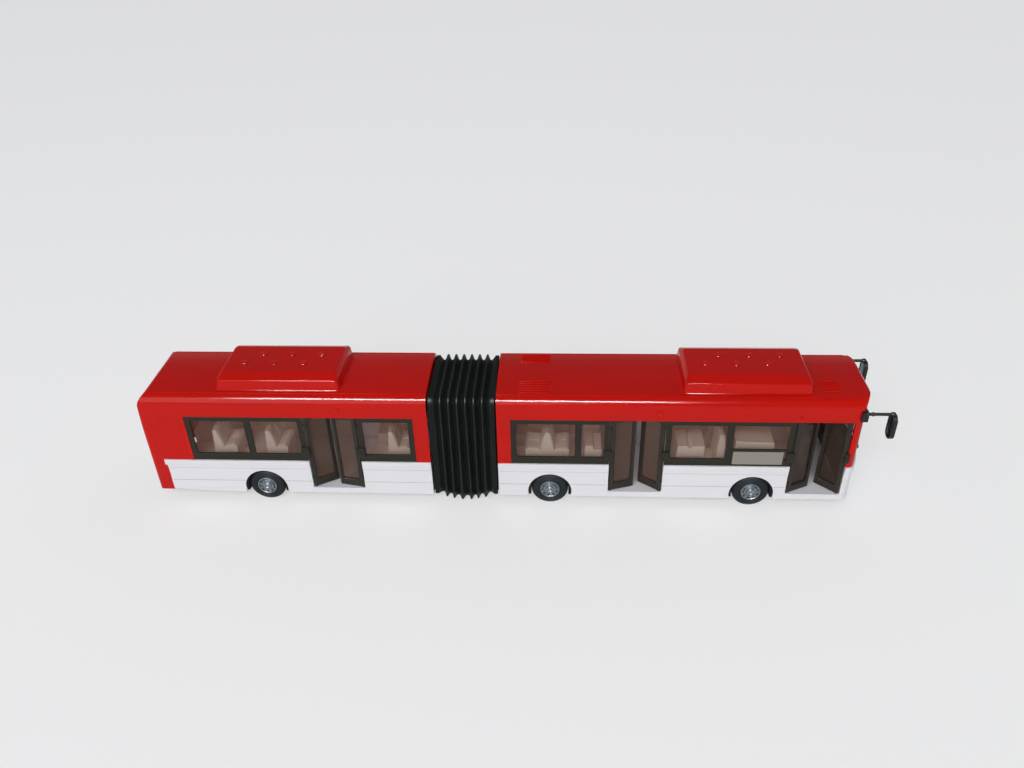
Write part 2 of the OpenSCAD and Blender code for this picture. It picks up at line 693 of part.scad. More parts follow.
module windscreen_frame() color(black) at_row() difference() {
    along_z(belt_z, screen_top - seat_gap) intersection() {
        difference() { nose_plan(-0.2); nose_plan(glass_t - wall); }
        translate([pillar_x + seat_gap, -body_w]) square([20, 2 * body_w]);
    }
    block(pillar_x + 1.4, nose_x + 1, -body_w, body_w, belt_z + 3.2, screen_top - 2.2);
}
module windscreen() color([0.3, 0.3, 0.3]) at_row()
    along_z(belt_z, screen_top - seat_gap) intersection() {
        difference() { nose_plan(glass_t - wall); nose_plan(-wall); }
        translate([pillar_x + seat_gap, -body_w]) square([20, 2 * body_w]);
    }
module headlamps() color("lightgray") at_row() both_sides()
    along_z(lamp_z[0] + seat_gap, lamp_z[1] - seat_gap) lamp_plan(0, -recess_t, seat_gap);
module destination_panel() color(black) at_row()
    along_z(sign_z[0] + seat_gap, sign_z[1] - seat_gap)
        nose_strip(-0.1, -sign_t + eps, sign_half - seat_gap);

// mirror on each side: foot on the shell, arm ahead of the nose, long head that hangs from it
module mirrors() color(black) at_row() both_sides() {
    arm_z = head_z + 6.2;
    arm_y = half_w + 0.9;
    arm_r = 0.8;
    head_x = nose_x + mirror_reach - 2;
    // the foot follows the round corner that it sits on
    along_z(arm_z - 4.4, arm_z + arm_r) difference() {
        translate([nose_x - 7.6, half_w - nose_r]) square([3.2, nose_r + 1.6]);
        nose_plan();
    }
    translate([nose_x - 6, arm_y, arm_z]) rotate([0, 90, 0]) cylinder(r = arm_r, h = mirror_reach + 5);
    translate([head_x, arm_y - 0.2, arm_z - 7.2]) rotate([90, 0, 90]) linear_extrude(2) {
        for (z = [-3.6, 3.6]) translate([0, z]) circle(mirror_half);
        translate([-mirror_half, -3.6]) square([2 * mirror_half, 7.2]);
    }
}

module dashboard() color([0.2, 0.2, 0.21]) at_row() {
    along_z(floor_z, belt_z + 1.6) intersection() {
        nose_plan(-wall - glass_t - 0.4);
        translate([nose_x - 7.6, -half_w]) square([20, body_w]);
    }
    block(nose_x - 13, nose_x - 7.6, 3, 20, floor_z + 10, belt_z + 0.6);
}
module steering_wheel() color(black) at_row()
    translate([nose_x - 17, 12, belt_z + 5.2]) rotate([0, -50, 0]) {
        rotate_extrude() translate([4.2, 0]) circle(0.55, $fn = 24);
        block(-4.2, 4.2, -0.45, 0.45, -0.4, 0.4);
        translate([0, 0, -6.2]) cylinder(r = 0.7, h = 6.6);
    }

// axle rod, hubs and tyres of one axle
module rod(x) translate([x, 0, axle_z]) rod_y(axle_r, -rod_half, rod_half);
module hub_pair(x) translate([x, 0, axle_z]) both_sides()
    translate([0, hub_out, 0]) rotate([90, 0, 0]) difference() {
        union() {
            cylinder(r = hub_r, h = tyre_w - 1.2);
            // boss that runs against the bearing
            cylinder(r = boss_r + 0.2, h = hub_out - spine_half - swing_gap);
            translate([0, 0, -0.1]) cylinder(r = boss_r, h = 1);
        }
        // dished face round the centre
        difference() {
            translate([0, 0, -1]) cylinder(r = hub_r - 0.9, h = 2);
            translate([0, 0, -1]) cylinder(r = boss_r, h = 3);
        }
        translate([0, 0, hub_out - rod_half]) cylinder(r = axle_r, h = half_w);
    }
module tyre_pair(x) translate([x, 0, axle_z]) both_sides() translate([0, wheel_out, 0])
    rotate([90, 0, 0]) rotate_extrude($fn = 96) {
        tread_r = tyre_r - tyre_shoulder_r;
        translate([hub_r, 0.5]) square([tyre_r - hub_r - 0.8, tyre_w - 1]);
        translate([hub_r + 0.6, 0]) square([tread_r - hub_r - 0.6, tyre_w]);
        for (y = [tyre_shoulder_r, tyre_w - tyre_shoulder_r]) translate([tread_r, y]) circle(tyre_shoulder_r);
        translate([tread_r - 0.1, tyre_shoulder_r])
            square([tyre_shoulder_r + 0.1, tyre_w - 2 * tyre_shoulder_r]);
    }

module rear_axle_rod() color("silver") at_row() rod(rear_axle_x);
module rear_hubs() color("darkgray") at_row() hub_pair(rear_axle_x);
module rear_tyres() color(black) at_row() tyre_pair(rear_axle_x);
module middle_axle_rod() color("silver") at_row() rod(middle_axle_x);
module middle_hubs() color("darkgray") at_row() hub_pair(middle_axle_x);
module middle_tyres() color(black) at_row() tyre_pair(middle_axle_x);
module front_axle_rod() color("silver") at_row() rod(front_axle_x);
module front_hubs() color("darkgray") at_row() hub_pair(front_axle_x);
module front_tyres() color(black) at_row() tyre_pair(front_axle_x);

// door leaf drawn shut, its hinge at the origin, running along +X
module leaf_shape() difference() {
    union() {
        translate([0, 0, leaf_z0]) cylinder(r = leaf_t / 2, h = leaf_z1 - leaf_z0);
        block(0, leaf_len, -leaf_t / 2, leaf_t / 2, leaf_z0, leaf_z1);
        translate([0, 0, pin_z0]) cylinder(r = hinge_pin_r, h = pin_z1 - pin_z0);
    }
    leaf_slab(leaf_t);
}
// what fills the leaf's frame, t to either side of its middle
module leaf_slab(t)
    block(leaf_stile[0], leaf_len - leaf_stile[1], -t, t, leaf_z0 + leaf_rail[0], leaf_z1 - leaf_rail[1]);
module leaf_pane() leaf_slab(leaf_pane_t / 2);
module hang_aft(x, open) at_row() translate([x + hinge_in, hinge_y, 0]) rotate([0, 0, open[0]]) children();
module hang_fore(x, open) at_row() translate([x + door_w - hinge_in, hinge_y, 0]) rotate([0, 0, -open[1]])
    mirror([1, 0, 0]) children();

module rear_door_aft_leaf() color(leaf_colour) hang_aft(rear_door_x, rear_door_open) leaf_shape();
module rear_door_aft_pane() color(glass_colour) hang_aft(rear_door_x, rear_door_open) leaf_pane();
module rear_door_fore_leaf() color(leaf_colour) hang_fore(rear_door_x, rear_door_open) leaf_shape();
module rear_door_fore_pane() color(glass_colour) hang_fore(rear_door_x, rear_door_open) leaf_pane();
module middle_door_aft_leaf() color(leaf_colour) hang_aft(middle_door_x, middle_door_open) leaf_shape();
module middle_door_aft_pane() color(glass_colour) hang_aft(middle_door_x, middle_door_open) leaf_pane();
module middle_door_fore_leaf() color(leaf_colour) hang_fore(middle_door_x, middle_door_open) leaf_shape();
module middle_door_fore_pane() color(glass_colour) hang_fore(middle_door_x, middle_door_open) leaf_pane();
module front_door_aft_leaf() color(leaf_colour) hang_aft(front_door_x, front_door_open) leaf_shape();
module front_door_aft_pane() color(glass_colour) hang_aft(front_door_x, front_door_open) leaf_pane();
module front_door_fore_leaf() color(leaf_colour) hang_fore(front_door_x, front_door_open) leaf_shape();
module front_door_fore_pane() color(glass_colour) hang_fore(front_door_x, front_door_open) leaf_pane();

rear_shell();
rear_skirt();
rear_chassis();
rear_seats();
rear_window_frames();
rear_window_glass();
rear_roof_unit();
rear_screen();
tail_lamps();
engine_grille();
rear_bellows_ring();
bellows();
pivot_pin();
front_shell();
front_skirt();
front_chassis();
front_seats();
front_window_frames();
front_window_glass();
route_board();
front_roof_unit();
windscreen_frame();
windscreen();
headlamps();
destination_panel();
mirrors();
dashboard();
steering_wheel();
front_bellows_ring();
rear_axle_rod();
rear_hubs();
rear_tyres();
middle_axle_rod();
middle_hubs();
middle_tyres();
front_axle_rod();
front_hubs();
front_tyres();
rear_door_aft_leaf();
rear_door_aft_pane();
rear_door_fore_leaf();
rear_door_fore_pane();
middle_door_aft_leaf();
middle_door_aft_pane();
middle_door_fore_leaf();
middle_door_fore_pane();
front_door_aft_leaf();
front_door_aft_pane();
front_door_fore_leaf();
front_door_fore_pane();
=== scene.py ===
"""Toy articulated city bus: detail pieces, finishes and studio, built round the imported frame.

All sizes in the classes are millimetres. Stations run forward from the rear end of the bus, as in the
part's source; sta() turns them into the row frame: X towards the nose, Y to the bus's left, Z up
from the floor. Meshes become metres when a piece is finished.
"""
import json
import logging
import math
from dataclasses import dataclass
from enum import Enum
from typing import Callable, Iterator, Mapping, Optional, Sequence, Union

import bmesh
import bpy
from mathutils import Matrix, Vector


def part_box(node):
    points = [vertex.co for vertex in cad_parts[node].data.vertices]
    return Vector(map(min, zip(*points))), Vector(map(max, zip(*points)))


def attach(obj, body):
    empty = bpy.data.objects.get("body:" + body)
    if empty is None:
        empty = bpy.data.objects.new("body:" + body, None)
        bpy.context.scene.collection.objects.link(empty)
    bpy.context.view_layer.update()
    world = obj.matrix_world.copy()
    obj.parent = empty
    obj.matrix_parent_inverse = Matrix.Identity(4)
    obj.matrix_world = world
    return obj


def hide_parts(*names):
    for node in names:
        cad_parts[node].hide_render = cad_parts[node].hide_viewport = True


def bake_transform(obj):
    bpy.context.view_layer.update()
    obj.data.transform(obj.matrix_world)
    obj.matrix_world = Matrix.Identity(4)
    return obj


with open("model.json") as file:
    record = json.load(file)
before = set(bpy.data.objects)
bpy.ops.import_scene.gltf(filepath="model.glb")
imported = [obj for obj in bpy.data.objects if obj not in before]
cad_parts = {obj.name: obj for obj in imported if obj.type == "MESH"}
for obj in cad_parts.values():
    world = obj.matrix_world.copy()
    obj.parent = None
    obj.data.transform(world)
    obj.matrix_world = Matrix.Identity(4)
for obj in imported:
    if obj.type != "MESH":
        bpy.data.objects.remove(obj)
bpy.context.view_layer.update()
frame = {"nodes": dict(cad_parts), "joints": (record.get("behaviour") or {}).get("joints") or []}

LOG = logging.getLogger("bus")
MM = 0.001
NODES: Mapping[str, bpy.types.Object] = frame["nodes"]
JOINTS: Mapping[str, Mapping[str, object]] = {j["name"]: j for j in frame["joints"]}

Colour = tuple[float, float, float]
Triple = tuple[float, float, float]
Pair = tuple[float, float]
Ring = Sequence[Sequence[float]]


def box(node: str) -> tuple[Vector, Vector]:
    """The lowest and highest corner of a CAD node, in millimetres."""
    low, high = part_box(node)
    return low / MM, high / MM


def linear(value: int) -> float:
    """One 8-bit sRGB channel in linear light."""
    c = value / 255
    return c / 12.92 if c <= 0.04045 else ((c + 0.055) / 1.055) ** 2.4


def srgb(red: int, green: int, blue: int) -> Colour:
    """The linear colour of 8-bit sRGB values."""
    return linear(red), linear(green), linear(blue)


def scaled(colour: Colour, factor: float) -> Colour:
    """The colour with each channel multiplied and held below 1."""
    return tuple(min(1.0, c * factor) for c in colour)


# ---------------------------------------------------------------- shaders

class Sock:
    """A shader socket that takes part in arithmetic."""

    def __init__(self, graph: "Graph", socket: bpy.types.NodeSocket) -> None:
        """Wraps an output socket of one of the graph's nodes."""
        self.graph = graph
        self.socket = socket

    def _math(self, operation: str, *terms: "Value", clamp: bool = False) -> "Sock":
        """Adds one Math node.

        Args:
            operation: the node's operation.
            terms: its values, in order.
            clamp: whether the result is held between 0 and 1.

        Returns:
            The node's result.
        """
        settings = {"operation": operation, "use_clamp": clamp}
        return self.graph.add("ShaderNodeMath", settings, dict(enumerate(terms)))

    def __add__(self, other: "Value") -> "Sock":
        """self + other."""
        return self._math("ADD", self, other)

    __radd__ = __add__

    def __sub__(self, other: "Value") -> "Sock":
        """self - other."""
        return self._math("SUBTRACT", self, other)

    def __rsub__(self, other: "Value") -> "Sock":
        """other - self."""
        return self._math("SUBTRACT", other, self)

    def __mul__(self, other: "Value") -> "Sock":
        """self * other."""
        return self._math("MULTIPLY", self, other)

    __rmul__ = __mul__

    def window(self, low: float, high: float) -> "Sock":
        """0 at low, 1 at high, straight between and held beyond."""
        return self._math("MULTIPLY_ADD", self, 1 / (high - low), -low / (high - low), clamp=True)


Value = Union[Sock, float, int]


class Graph:
    """A node tree under construction: a material's, or the surround's when a world is given."""

    def __init__(self, name: str, world: Optional[bpy.types.World] = None) -> None:
        """Starts a new material, or the nodes of a world.

        Args:
            name: the new material's name.
            world: the world whose nodes it takes instead.
        """
        self.material = world or bpy.data.materials.new(name)
        self.material.use_nodes = True
        self.tree = self.material.node_tree
        self.shader = self.tree.nodes["Background" if world else "Principled BSDF"]
        self.place = self.add("ShaderNodeTexCoord", output="Generated" if world else "Object")

    def add(self, kind: str, settings: Optional[Mapping[str, object]] = None,
            inputs: Optional[Mapping[Union[str, int], object]] = None,
            output: Union[str, int] = 0) -> Sock:
        """Adds a node.

        Args:
            kind: the node's type.
            settings: its properties, set before its sockets; "stops" gives a ramp's stops.
            inputs: a value or a Sock for each input socket, by name or number.
            output: which output to return.

        Returns:
            The chosen output.
        """
        node = self.tree.nodes.new(kind)
        for key, value in (settings or {}).items():
            if key == "stops":
                ramp = node.color_ramp.elements
                while len(ramp) < len(value):
                    ramp.new(1.0)
                for element, (place, colour) in zip(ramp, value):
                    element.position = place
                    element.color = (*colour, 1.0)
            else:
                setattr(node, key, value)
        for key, value in (inputs or {}).items():
            if isinstance(value, Sock):
                self.tree.links.new(value.socket, node.inputs[key])
            else:
                node.inputs[key].default_value = value
        return Sock(self, node.outputs[output])

    def fix(self, **values: object) -> None:
        """Sets constants on the shader.

        Args:
            values: the value of each socket; underscores in the names stand for spaces.
        """
        for key, value in values.items():
            if key == "Base_Color":
                value = (*value, 1.0)
            self.shader.inputs[key.replace("_", " ")].default_value = value

    def feed(self, name: str, value: Sock) -> None:
        """Links a value that varies over the surface to one of the shader's sockets."""
        self.tree.links.new(value.socket, self.shader.inputs[name])

    def noise(self, scale: float, detail: float = 2.0, stretch: Triple = (1, 1, 1)) -> Sock:
        """Adds noise from 0 to 1.

        Args:
            scale: how many features it has in a metre.
            detail: how many finer layers it has.
            stretch: the scale along each axis.

        Returns:
            The noise.
        """
        place = self.place
        if stretch != (1, 1, 1):
            place = self.add("ShaderNodeMapping", None, {"Vector": place, "Scale": stretch})
        return self.add("ShaderNodeTexNoise", None,
                        {"Vector": place, "Scale": scale, "Detail": detail}, "Fac")

    def mix(self, factor: Value, a: Union[Sock, Colour], b: Union[Sock, Colour]) -> Sock:
        """Mixes two colours.

        Args:
            factor: 0 for all a, 1 for all b.
            a: the first colour.
            b: the second colour.

        Returns:
            The mixture.
        """
        ends = {key: c if isinstance(c, Sock) else (*c, 1.0) for key, c in ((6, a), (7, b))}
        return self.add("ShaderNodeMix", {"data_type": "RGBA"}, {0: factor, **ends}, 2)

    def bump(self, height: Sock, depth: float) -> None:
        """Feeds a height from 0 to 1 to the shader's normal, as relief of that depth in metres."""
        self.feed("Normal", self.add("ShaderNodeBump", None,
                                     {"Height": height, "Distance": depth, "Strength": 1.0}, "Normal"))


@dataclass(frozen=True)
class Plastic:
    """Moulded plastic: faint flow streaks, a slight pebble and hairline scuffs in the gloss."""
    name: str
    slot: str
    colour: Colour
    gloss: Pair = (0.16, 0.3)
    coat: float = 0.0
    shine: float = 0.3
    streak: float = 0.06
    pebble: float = 0.00002
    pebble_scale: float = 420.0
    scuffs: float = 0.5
    glow: float = 0.0

    def make(self) -> bpy.types.Material:
        """Mixes the streaks, pebble and scuffs.

        Returns:
            The material.
        """
        g = Graph(self.name)
        flow = g.noise(26, 3, (0.35, 1, 1))
        tone = g.mix(flow.window(0.3, 0.7), scaled(self.colour, 1 - self.streak),
                     scaled(self.colour, 1 + self.streak))
        fleck = g.noise(1500, 1)
        g.feed("Base Color", g.mix(fleck.window(0.62, 0.8) * 0.25, tone, scaled(self.colour, 0.82)))
        scuff = g.noise(300, 2, (0.05, 1, 1)).window(0.6, 0.75) * self.scuffs
        low, high = self.gloss
        g.feed("Roughness", g.noise(60, 2) * (high - low) + low + scuff * 0.12)
        g.bump(g.noise(self.pebble_scale, 3) + g.noise(90, 2) * 1.5, self.pebble)
        g.fix(Coat_Weight=self.coat, Coat_Roughness=0.1, IOR=1.5, Specular_IOR_Level=self.shine)
        if self.glow:
            g.fix(Subsurface_Weight=self.glow, Subsurface_Radius=(1.0, 0.6, 0.5),
                  Subsurface_Scale=0.0012)
        return g.material


@dataclass(frozen=True)
class Tint:
    """Tinted clear sheet: colour, how much it hides, and a soft waviness."""
    name: str
    slot: str
    colour: Colour
    hide: float
    shine: float = 0.4

    def make(self) -> bpy.types.Material:
        """Mixes the tint and its waviness.

        Returns:
            The material.
        """
        g = Graph(self.name)
        cloud = g.noise(45, 2).window(0.3, 0.7)
        g.feed("Base Color", g.mix(cloud, scaled(self.colour, 0.9), scaled(self.colour, 1.1)))
        g.feed("Roughness", g.noise(140, 2) * 0.06 + 0.04)
        g.feed("Alpha", g.noise(30, 1) * 0.06 + (self.hide - 0.03))
        g.bump(g.noise(70, 1), 0.00004)
        g.fix(IOR=1.5, Specular_IOR_Level=self.shine)
        return g.material


@dataclass(frozen=True)
class Rubber:
    """Rubber or rubber-coated cloth: fine grain, soft sheen, dusty patches."""
    name: str
    slot: str
    colour: Colour
    rough: float = 0.55
    grain: float = 2200.0
    depth: float = 0.00003
    shine: float = 0.35

    def make(self) -> bpy.types.Material:
        """Mixes the grain and the dusty patches.

        Returns:
            The material.
        """
        g = Graph(self.name)
        patch = g.noise(55, 3).window(0.3, 0.75)
        g.feed("Base Color", g.mix(patch, scaled(self.colour, 0.8), scaled(self.colour, 1.3)))
        g.feed("Roughness", g.noise(160, 2) * 0.16 + (self.rough - 0.08))
        g.bump(g.noise(self.grain, 2) + g.noise(500, 2), self.depth)
        g.fix(Specular_IOR_Level=self.shine)
        return g.material


@dataclass(frozen=True)
class Metal:
    """Drawn or sprayed metal with fine streaks."""
    name: str
    slot: str
    colour: Colour
    rough: float = 0.3
    metallic: float = 1.0

    def make(self) -> bpy.types.Material:
        """Mixes the streaks.

        Returns:
            The material.
        """
        g = Graph(self.name)
        streak = g.noise(900, 2, (1, 0.08, 1))
        g.feed("Base Color", g.mix(streak, scaled(self.colour, 0.85), scaled(self.colour, 1.1)))
        g.feed("Roughness", streak * 0.14 + (self.rough - 0.07))
        g.bump(streak, 0.000006)
        g.fix(Metallic=self.metallic)
        return g.material


class Finish(Enum):
    """Every finish on the bus."""
    RED = Plastic("gloss_red", "red_body", srgb(192, 18, 9), (0.09, 0.13), 0.0, 0.16, glow=0.03)
    WHITE = Plastic("gloss_white", "white_skirt", srgb(225, 224, 228), (0.2, 0.3), 0.05, 0.3, 0.012)
    BLACK_BASE = Plastic("base_black", "black_base", srgb(38, 40, 42), (0.4, 0.54), shine=0.3,
                         pebble=0.00005, pebble_scale=1100)
    CREAM = Plastic("seat_cream", "cream_seats", srgb(240, 226, 210), (0.36, 0.5), streak=0.03, glow=0.18)
    FRAME = Plastic("frame_olive", "dark_frame", srgb(40, 37, 29), (0.3, 0.42), shine=0.2)
    DOOR = Plastic("door_brown", "door_frame", srgb(48, 42, 35), (0.3, 0.42), shine=0.2)
    SMOKE = Tint("smoke_brown", "smoke_glazing", srgb(116, 78, 64), 0.24, 0.2)
    DOOR_SMOKE = Tint("smoke_door", "smoke_glazing", srgb(90, 66, 49), 0.5, 0.15)
    # Painted shade: the front door panes are darkened to stand for the dark interior behind them.
    DARK_SMOKE = Tint("smoke_front_door", "smoke_glazing", srgb(58, 42, 32), 0.62, 0.15)
    CLEAR = Tint("lens_clear", "clear_lens", srgb(222, 226, 232), 0.2)
    BELLOWS = Rubber("bellows_cloth", "bellows", srgb(20, 26, 22), 0.5, shine=0.15)
    LINER = Rubber("arch_liner", "black_base", srgb(16, 18, 20), 0.6, shine=0.15)
    # Painted shade: a grey for the shade lines under the steps of the white skirts.
    LINE = Plastic("moulded_line", "white_skirt", srgb(172, 172, 177), (0.3, 0.4), shine=0.2)
    # Painted highlight: a lighter grey on the ridge tops stands for their gleam.
    RIDGE = Rubber("bellows_ridge", "bellows", srgb(36, 42, 38), 0.4, shine=0.12)
    TYRE = Rubber("tyre_rubber", "tyre", srgb(27, 32, 36), 0.55, 1500, 0.00004, 0.2)
    HUB = Metal("hub_silver", "hub", srgb(128, 135, 141), 0.42, 0.85)
    STEEL = Metal("axle_steel", "steel_pin", srgb(190, 190, 192), 0.28)
    CHROME = Metal("reflector_chrome", "clear_lens", srgb(214, 216, 220), 0.14)
    MIRROR = Metal("mirror_dark", "black_trim", srgb(60, 78, 92), 0.1, 0.8)
    TRIM = Plastic("trim_black", "black_trim", srgb(26, 28, 29), (0.3, 0.44), shine=0.3)
    RING = Plastic("ring_black", "bellows_ring", srgb(19, 22, 20), (0.34, 0.46), shine=0.12)
    DASH = Plastic("dash_grey", "grey_dash", srgb(70, 71, 74), (0.45, 0.6), pebble=0.00006,
                   pebble_scale=1300)
    BOARD = Plastic("board_grey", "pale_board", srgb(140, 136, 126), (0.34, 0.48), streak=0.03)
    RED_LENS = Plastic("lens_red", "red_lens", srgb(176, 16, 10), (0.08, 0.16), 0.5, 0.5, glow=0.2)
    AMBER_LENS = Plastic("lens_amber", "red_lens", srgb(226, 112, 14), (0.08, 0.16), 0.5, 0.5, glow=0.2)
    PLATE = Plastic("plate_white", "white_skirt", srgb(214, 213, 206), (0.36, 0.5), shine=0.3)

    @property
    def material(self) -> bpy.types.Material:
        """The finish's material, made when it is first asked for."""
        return bpy.data.materials.get(self.value.name) or self.value.make()


# ---------------------------------------------------------------- mesh making

AXES = {"X": lambda u, v, t: (t, u, v), "Y": lambda u, v, t: (u, t, v), "Z": lambda u, v, t: (u, v, t)}


def rounded(u0: float, u1: float, v0: float, v1: float, radius: float, steps: int = 5,
            spacing: float = 0.0) -> list[Pair]:
    """The outline of a rectangle with round corners.

    Args:
        u0, u1, v0, v1: its limits.
        radius: radius of its corners.
        steps: number of stretches in each corner.
        spacing: the most that two points on a side may lie apart; 0 puts none on the sides.

    Returns:
        Its points, anticlockwise from the lower right corner.
    """
    points: list[Pair] = []
    for k, (cu, cv) in enumerate(((u1 - radius, v0 + radius), (u1 - radius, v1 - radius),
                                  (u0 + radius, v1 - radius), (u0 + radius, v0 + radius))):
        for i in range(steps + 1):
            a = math.radians(-90 + 90 * (k + i / steps))
            points.append((cu + radius * math.cos(a), cv + radius * math.sin(a)))
    if not spacing:
        return points
    dense: list[Pair] = []
    for (a0, b0), (a1, b1) in zip(points, points[1:] + points[:1]):
        parts = max(1, math.ceil(math.hypot(a1 - a0, b1 - b0) / spacing))
        dense += [(a0 + (a1 - a0) * i / parts, b0 + (b1 - b0) * i / parts) for i in range(parts)]
    return dense


def wheel_points(radius: float, count: int, turn: float = 0.0) -> Iterator[Pair]:
    """Places points evenly round a circle.

    Args:
        radius: the circle's radius.
        count: how many points it has.
        turn: the first point's angle, in degrees.

    Returns:
        The points, one after another.
    """
    for i in range(count):
        a = math.radians(turn + 360 * i / count)
        yield radius * math.cos(a), radius * math.sin(a)


class Form:
    """A mesh under construction, in millimetres of the row frame."""

    def __init__(self) -> None:
        """Starts an empty mesh."""
        self.mesh = bmesh.new()

    def loft(self, rings: Sequence[Ring], caps: bool = True, loop: bool = True,
             closed: bool = False) -> list[bmesh.types.BMFace]:
        """Skins rings that have the same number of points.

        Args:
            rings: the rings, in order.
            caps: whether the first and the last ring are filled.
            loop: whether each ring closes on itself.
            closed: whether the last ring is joined to the first, instead of caps.

        Returns:
            The faces between the rings.
        """
        rows = [[self.mesh.verts.new(p) for p in ring] for ring in rings]
        count = len(rows[0])
        faces = []
        for a, b in zip(rows, rows[1:] + rows[:1] if closed else rows[1:]):
            for i in range(count if loop else count - 1):
                j = (i + 1) % count
                faces.append(self.mesh.faces.new((a[i], a[j], b[j], b[i])))
        if caps and not closed:
            self.mesh.faces.new(rows[0][::-1])
            self.mesh.faces.new(rows[-1])
        return faces

    def prism(self, outline: Sequence[Pair], axis: str, a: float, b: float, chamfer: float = 0.0) -> None:
        """Extrudes an outline.

        Args:
            outline: its points, in the two axes that follow the extrusion's own in XYZ order.
            axis: "X", "Y" or "Z".
            a, b: where the extrusion starts and ends.
            chamfer: how far its end b is drawn in, and the height over which that happens.
        """
        put = AXES[axis]
        rings = [[put(u, v, a) for u, v in outline]]
        if chamfer:
            cu = sum(u for u, _ in outline) / len(outline)
            cv = sum(v for _, v in outline) / len(outline)
            reach_u = max(abs(u - cu) for u, _ in outline)
            reach_v = max(abs(v - cv) for _, v in outline)
            step = math.copysign(chamfer, b - a)
            rings.append([put(u, v, b - step) for u, v in outline])
            for part, rise in ((0.3, 0.3), (1.0, 0.0)):
                ku, kv = 1 - chamfer * part / reach_u, 1 - chamfer * part / reach_v
                rings.append([put(cu + (u - cu) * ku, cv + (v - cv) * kv, b - step * rise)
                              for u, v in outline])
        else:
            rings.append([put(u, v, b) for u, v in outline])
        self.loft(rings)

    def block(self, low: Sequence[float], high: Sequence[float], radius: float = 0.0,
              axis: str = "Y", chamfer: float = 0.0) -> None:
        """A block between two corners, its edges along axis rounded.

        Args:
            low, high: opposite corners.
            radius: radius of the edges along axis.
            axis: "X", "Y" or "Z".
            chamfer: how far the end at high is drawn in.
        """
        order = {"X": (1, 2, 0), "Y": (0, 2, 1), "Z": (0, 1, 2)}[axis]
        u, v, t = order
        outline = (rounded(low[u], high[u], low[v], high[v], radius) if radius else
                   [(low[u], low[v]), (high[u], low[v]), (high[u], high[v]), (low[u], high[v])])
        self.prism(outline, axis, low[t], high[t], chamfer)

    def lathe(self, profile: Sequence[Pair], centre: Sequence[float], axis: str,
              steps: int = 48) -> list[bmesh.types.BMFace]:
        """Turns a profile of (radius, distance along the axis) pairs.

        Args:
            profile: the pairs; a closed shape starts and ends on the axis.
            centre: the point that distances are measured from.
            axis: "X", "Y" or "Z".
            steps: number of faces round it.

        Returns:
            The faces that were made.
        """
        put = AXES[axis]
        rings = []
        for radius, along in profile:
            r = max(radius, 0.001)
            rings.append([Vector(put(u, v, along)) + Vector(centre) for u, v in wheel_points(r, steps)])
        return self.loft(rings, caps=profile[0][0] <= 0.001 and profile[-1][0] <= 0.001)

    def dome(self, centre: Sequence[float], axis: str, radius: float, height: float,
             steps: int = 24, foot: float = 0.3) -> None:
        """A low round dome on a short foot.

        Args:
            centre: the middle of its base.
            axis: "X", "Y" or "Z", the way that it rises.
            radius: radius of its base.
            height: how far it rises, negative for downwards.
            steps: number of faces round it.
            foot: how deep its foot goes.
        """
        base = -math.copysign(foot, height)
        profile = [(0.0, base), (radius, base)]
        profile += [(radius * math.cos(a), height * math.sin(a))
                    for a in (math.radians(15 * k) for k in range(7))]
        self.lathe(profile, centre, axis, steps)

    def tube(self, path: Sequence[Sequence[float]], radius: Union[float, Sequence[float]],
             sides: int = 8, closed: bool = False) -> None:
        """Sweeps a circle along a path.

        Args:
            path: the path's points.
            radius: the circle's radius, or one at each point.
            sides: number of sides of the circle.
            closed: whether the path joins up with its own start.
        """
        points = [Vector(p) for p in path]
        count = len(points)
        radii = [radius] * count if isinstance(radius, (int, float)) else list(radius)
        side = Vector((0, 0, 1))
        rings = []
        for i, point in enumerate(points):
            before = points[(i - 1) % count] if closed or i else point
            after = points[(i + 1) % count] if closed or i < count - 1 else point
            ahead = (after - before).normalized()
            if abs(ahead.dot(side)) > 0.95:
                side = Vector((0, 1, 0)) if abs(ahead.y) < 0.9 else Vector((1, 0, 0))
            side = (side - ahead * ahead.dot(side)).normalized()
            other = ahead.cross(side)
            rings.append([point + side * (radii[i] * math.cos(2 * math.pi * k / sides))
                          + other * (radii[i] * math.sin(2 * math.pi * k / sides))
                          for k in range(sides)])
        self.loft(rings, caps=not closed, closed=closed)

    def rib(self, start: Sequence[float], end: Sequence[float], radius: float, sides: int = 8) -> None:
        """A straight round-ended rib.

        Args:
            start, end: the middles of its two ends.
            radius: radius of its section.
            sides: number of sides of its section.
        """
        a, b = Vector(start), Vector(end)
        ahead = (b - a).normalized()
        turns = [math.radians(15 + 25 * k) for k in range(4)]
        ends = [(radius * (1 - math.cos(t)), radius * math.sin(t)) for t in turns]
        path = [a + ahead * d for d, _ in ends] + [b - ahead * d for d, _ in reversed(ends)]
        self.tube(path, [r for _, r in ends] + [r for _, r in reversed(ends)], sides)

    def rim(self, outer: Ring, inner: Ring, out: Callable[[Sequence[float], float], Triple],
            sink: float, proud: float) -> None:
        """A moulded rim between two outlines with the same number of points.

        Args:
            outer: outer outline, as pairs.
            inner: inner outline, as pairs.
            out: places a pair at a height above the surface that the rim lies on.
            sink: how deep the rim's foot lies.
            proud: how far its crest stands out.
        """
        def between(share: float, height: float) -> list[Triple]:
            """The ring at that share of the way from outer to inner."""
            return [out((a[0] + (b[0] - a[0]) * share, a[1] + (b[1] - a[1]) * share), height)
                    for a, b in zip(outer, inner)]
        self.loft([between(0, -sink), between(0, proud * 0.5), between(0.2, proud),
                   between(0.65, proud), between(1, proud * 0.2), between(1, -sink)], closed=True)

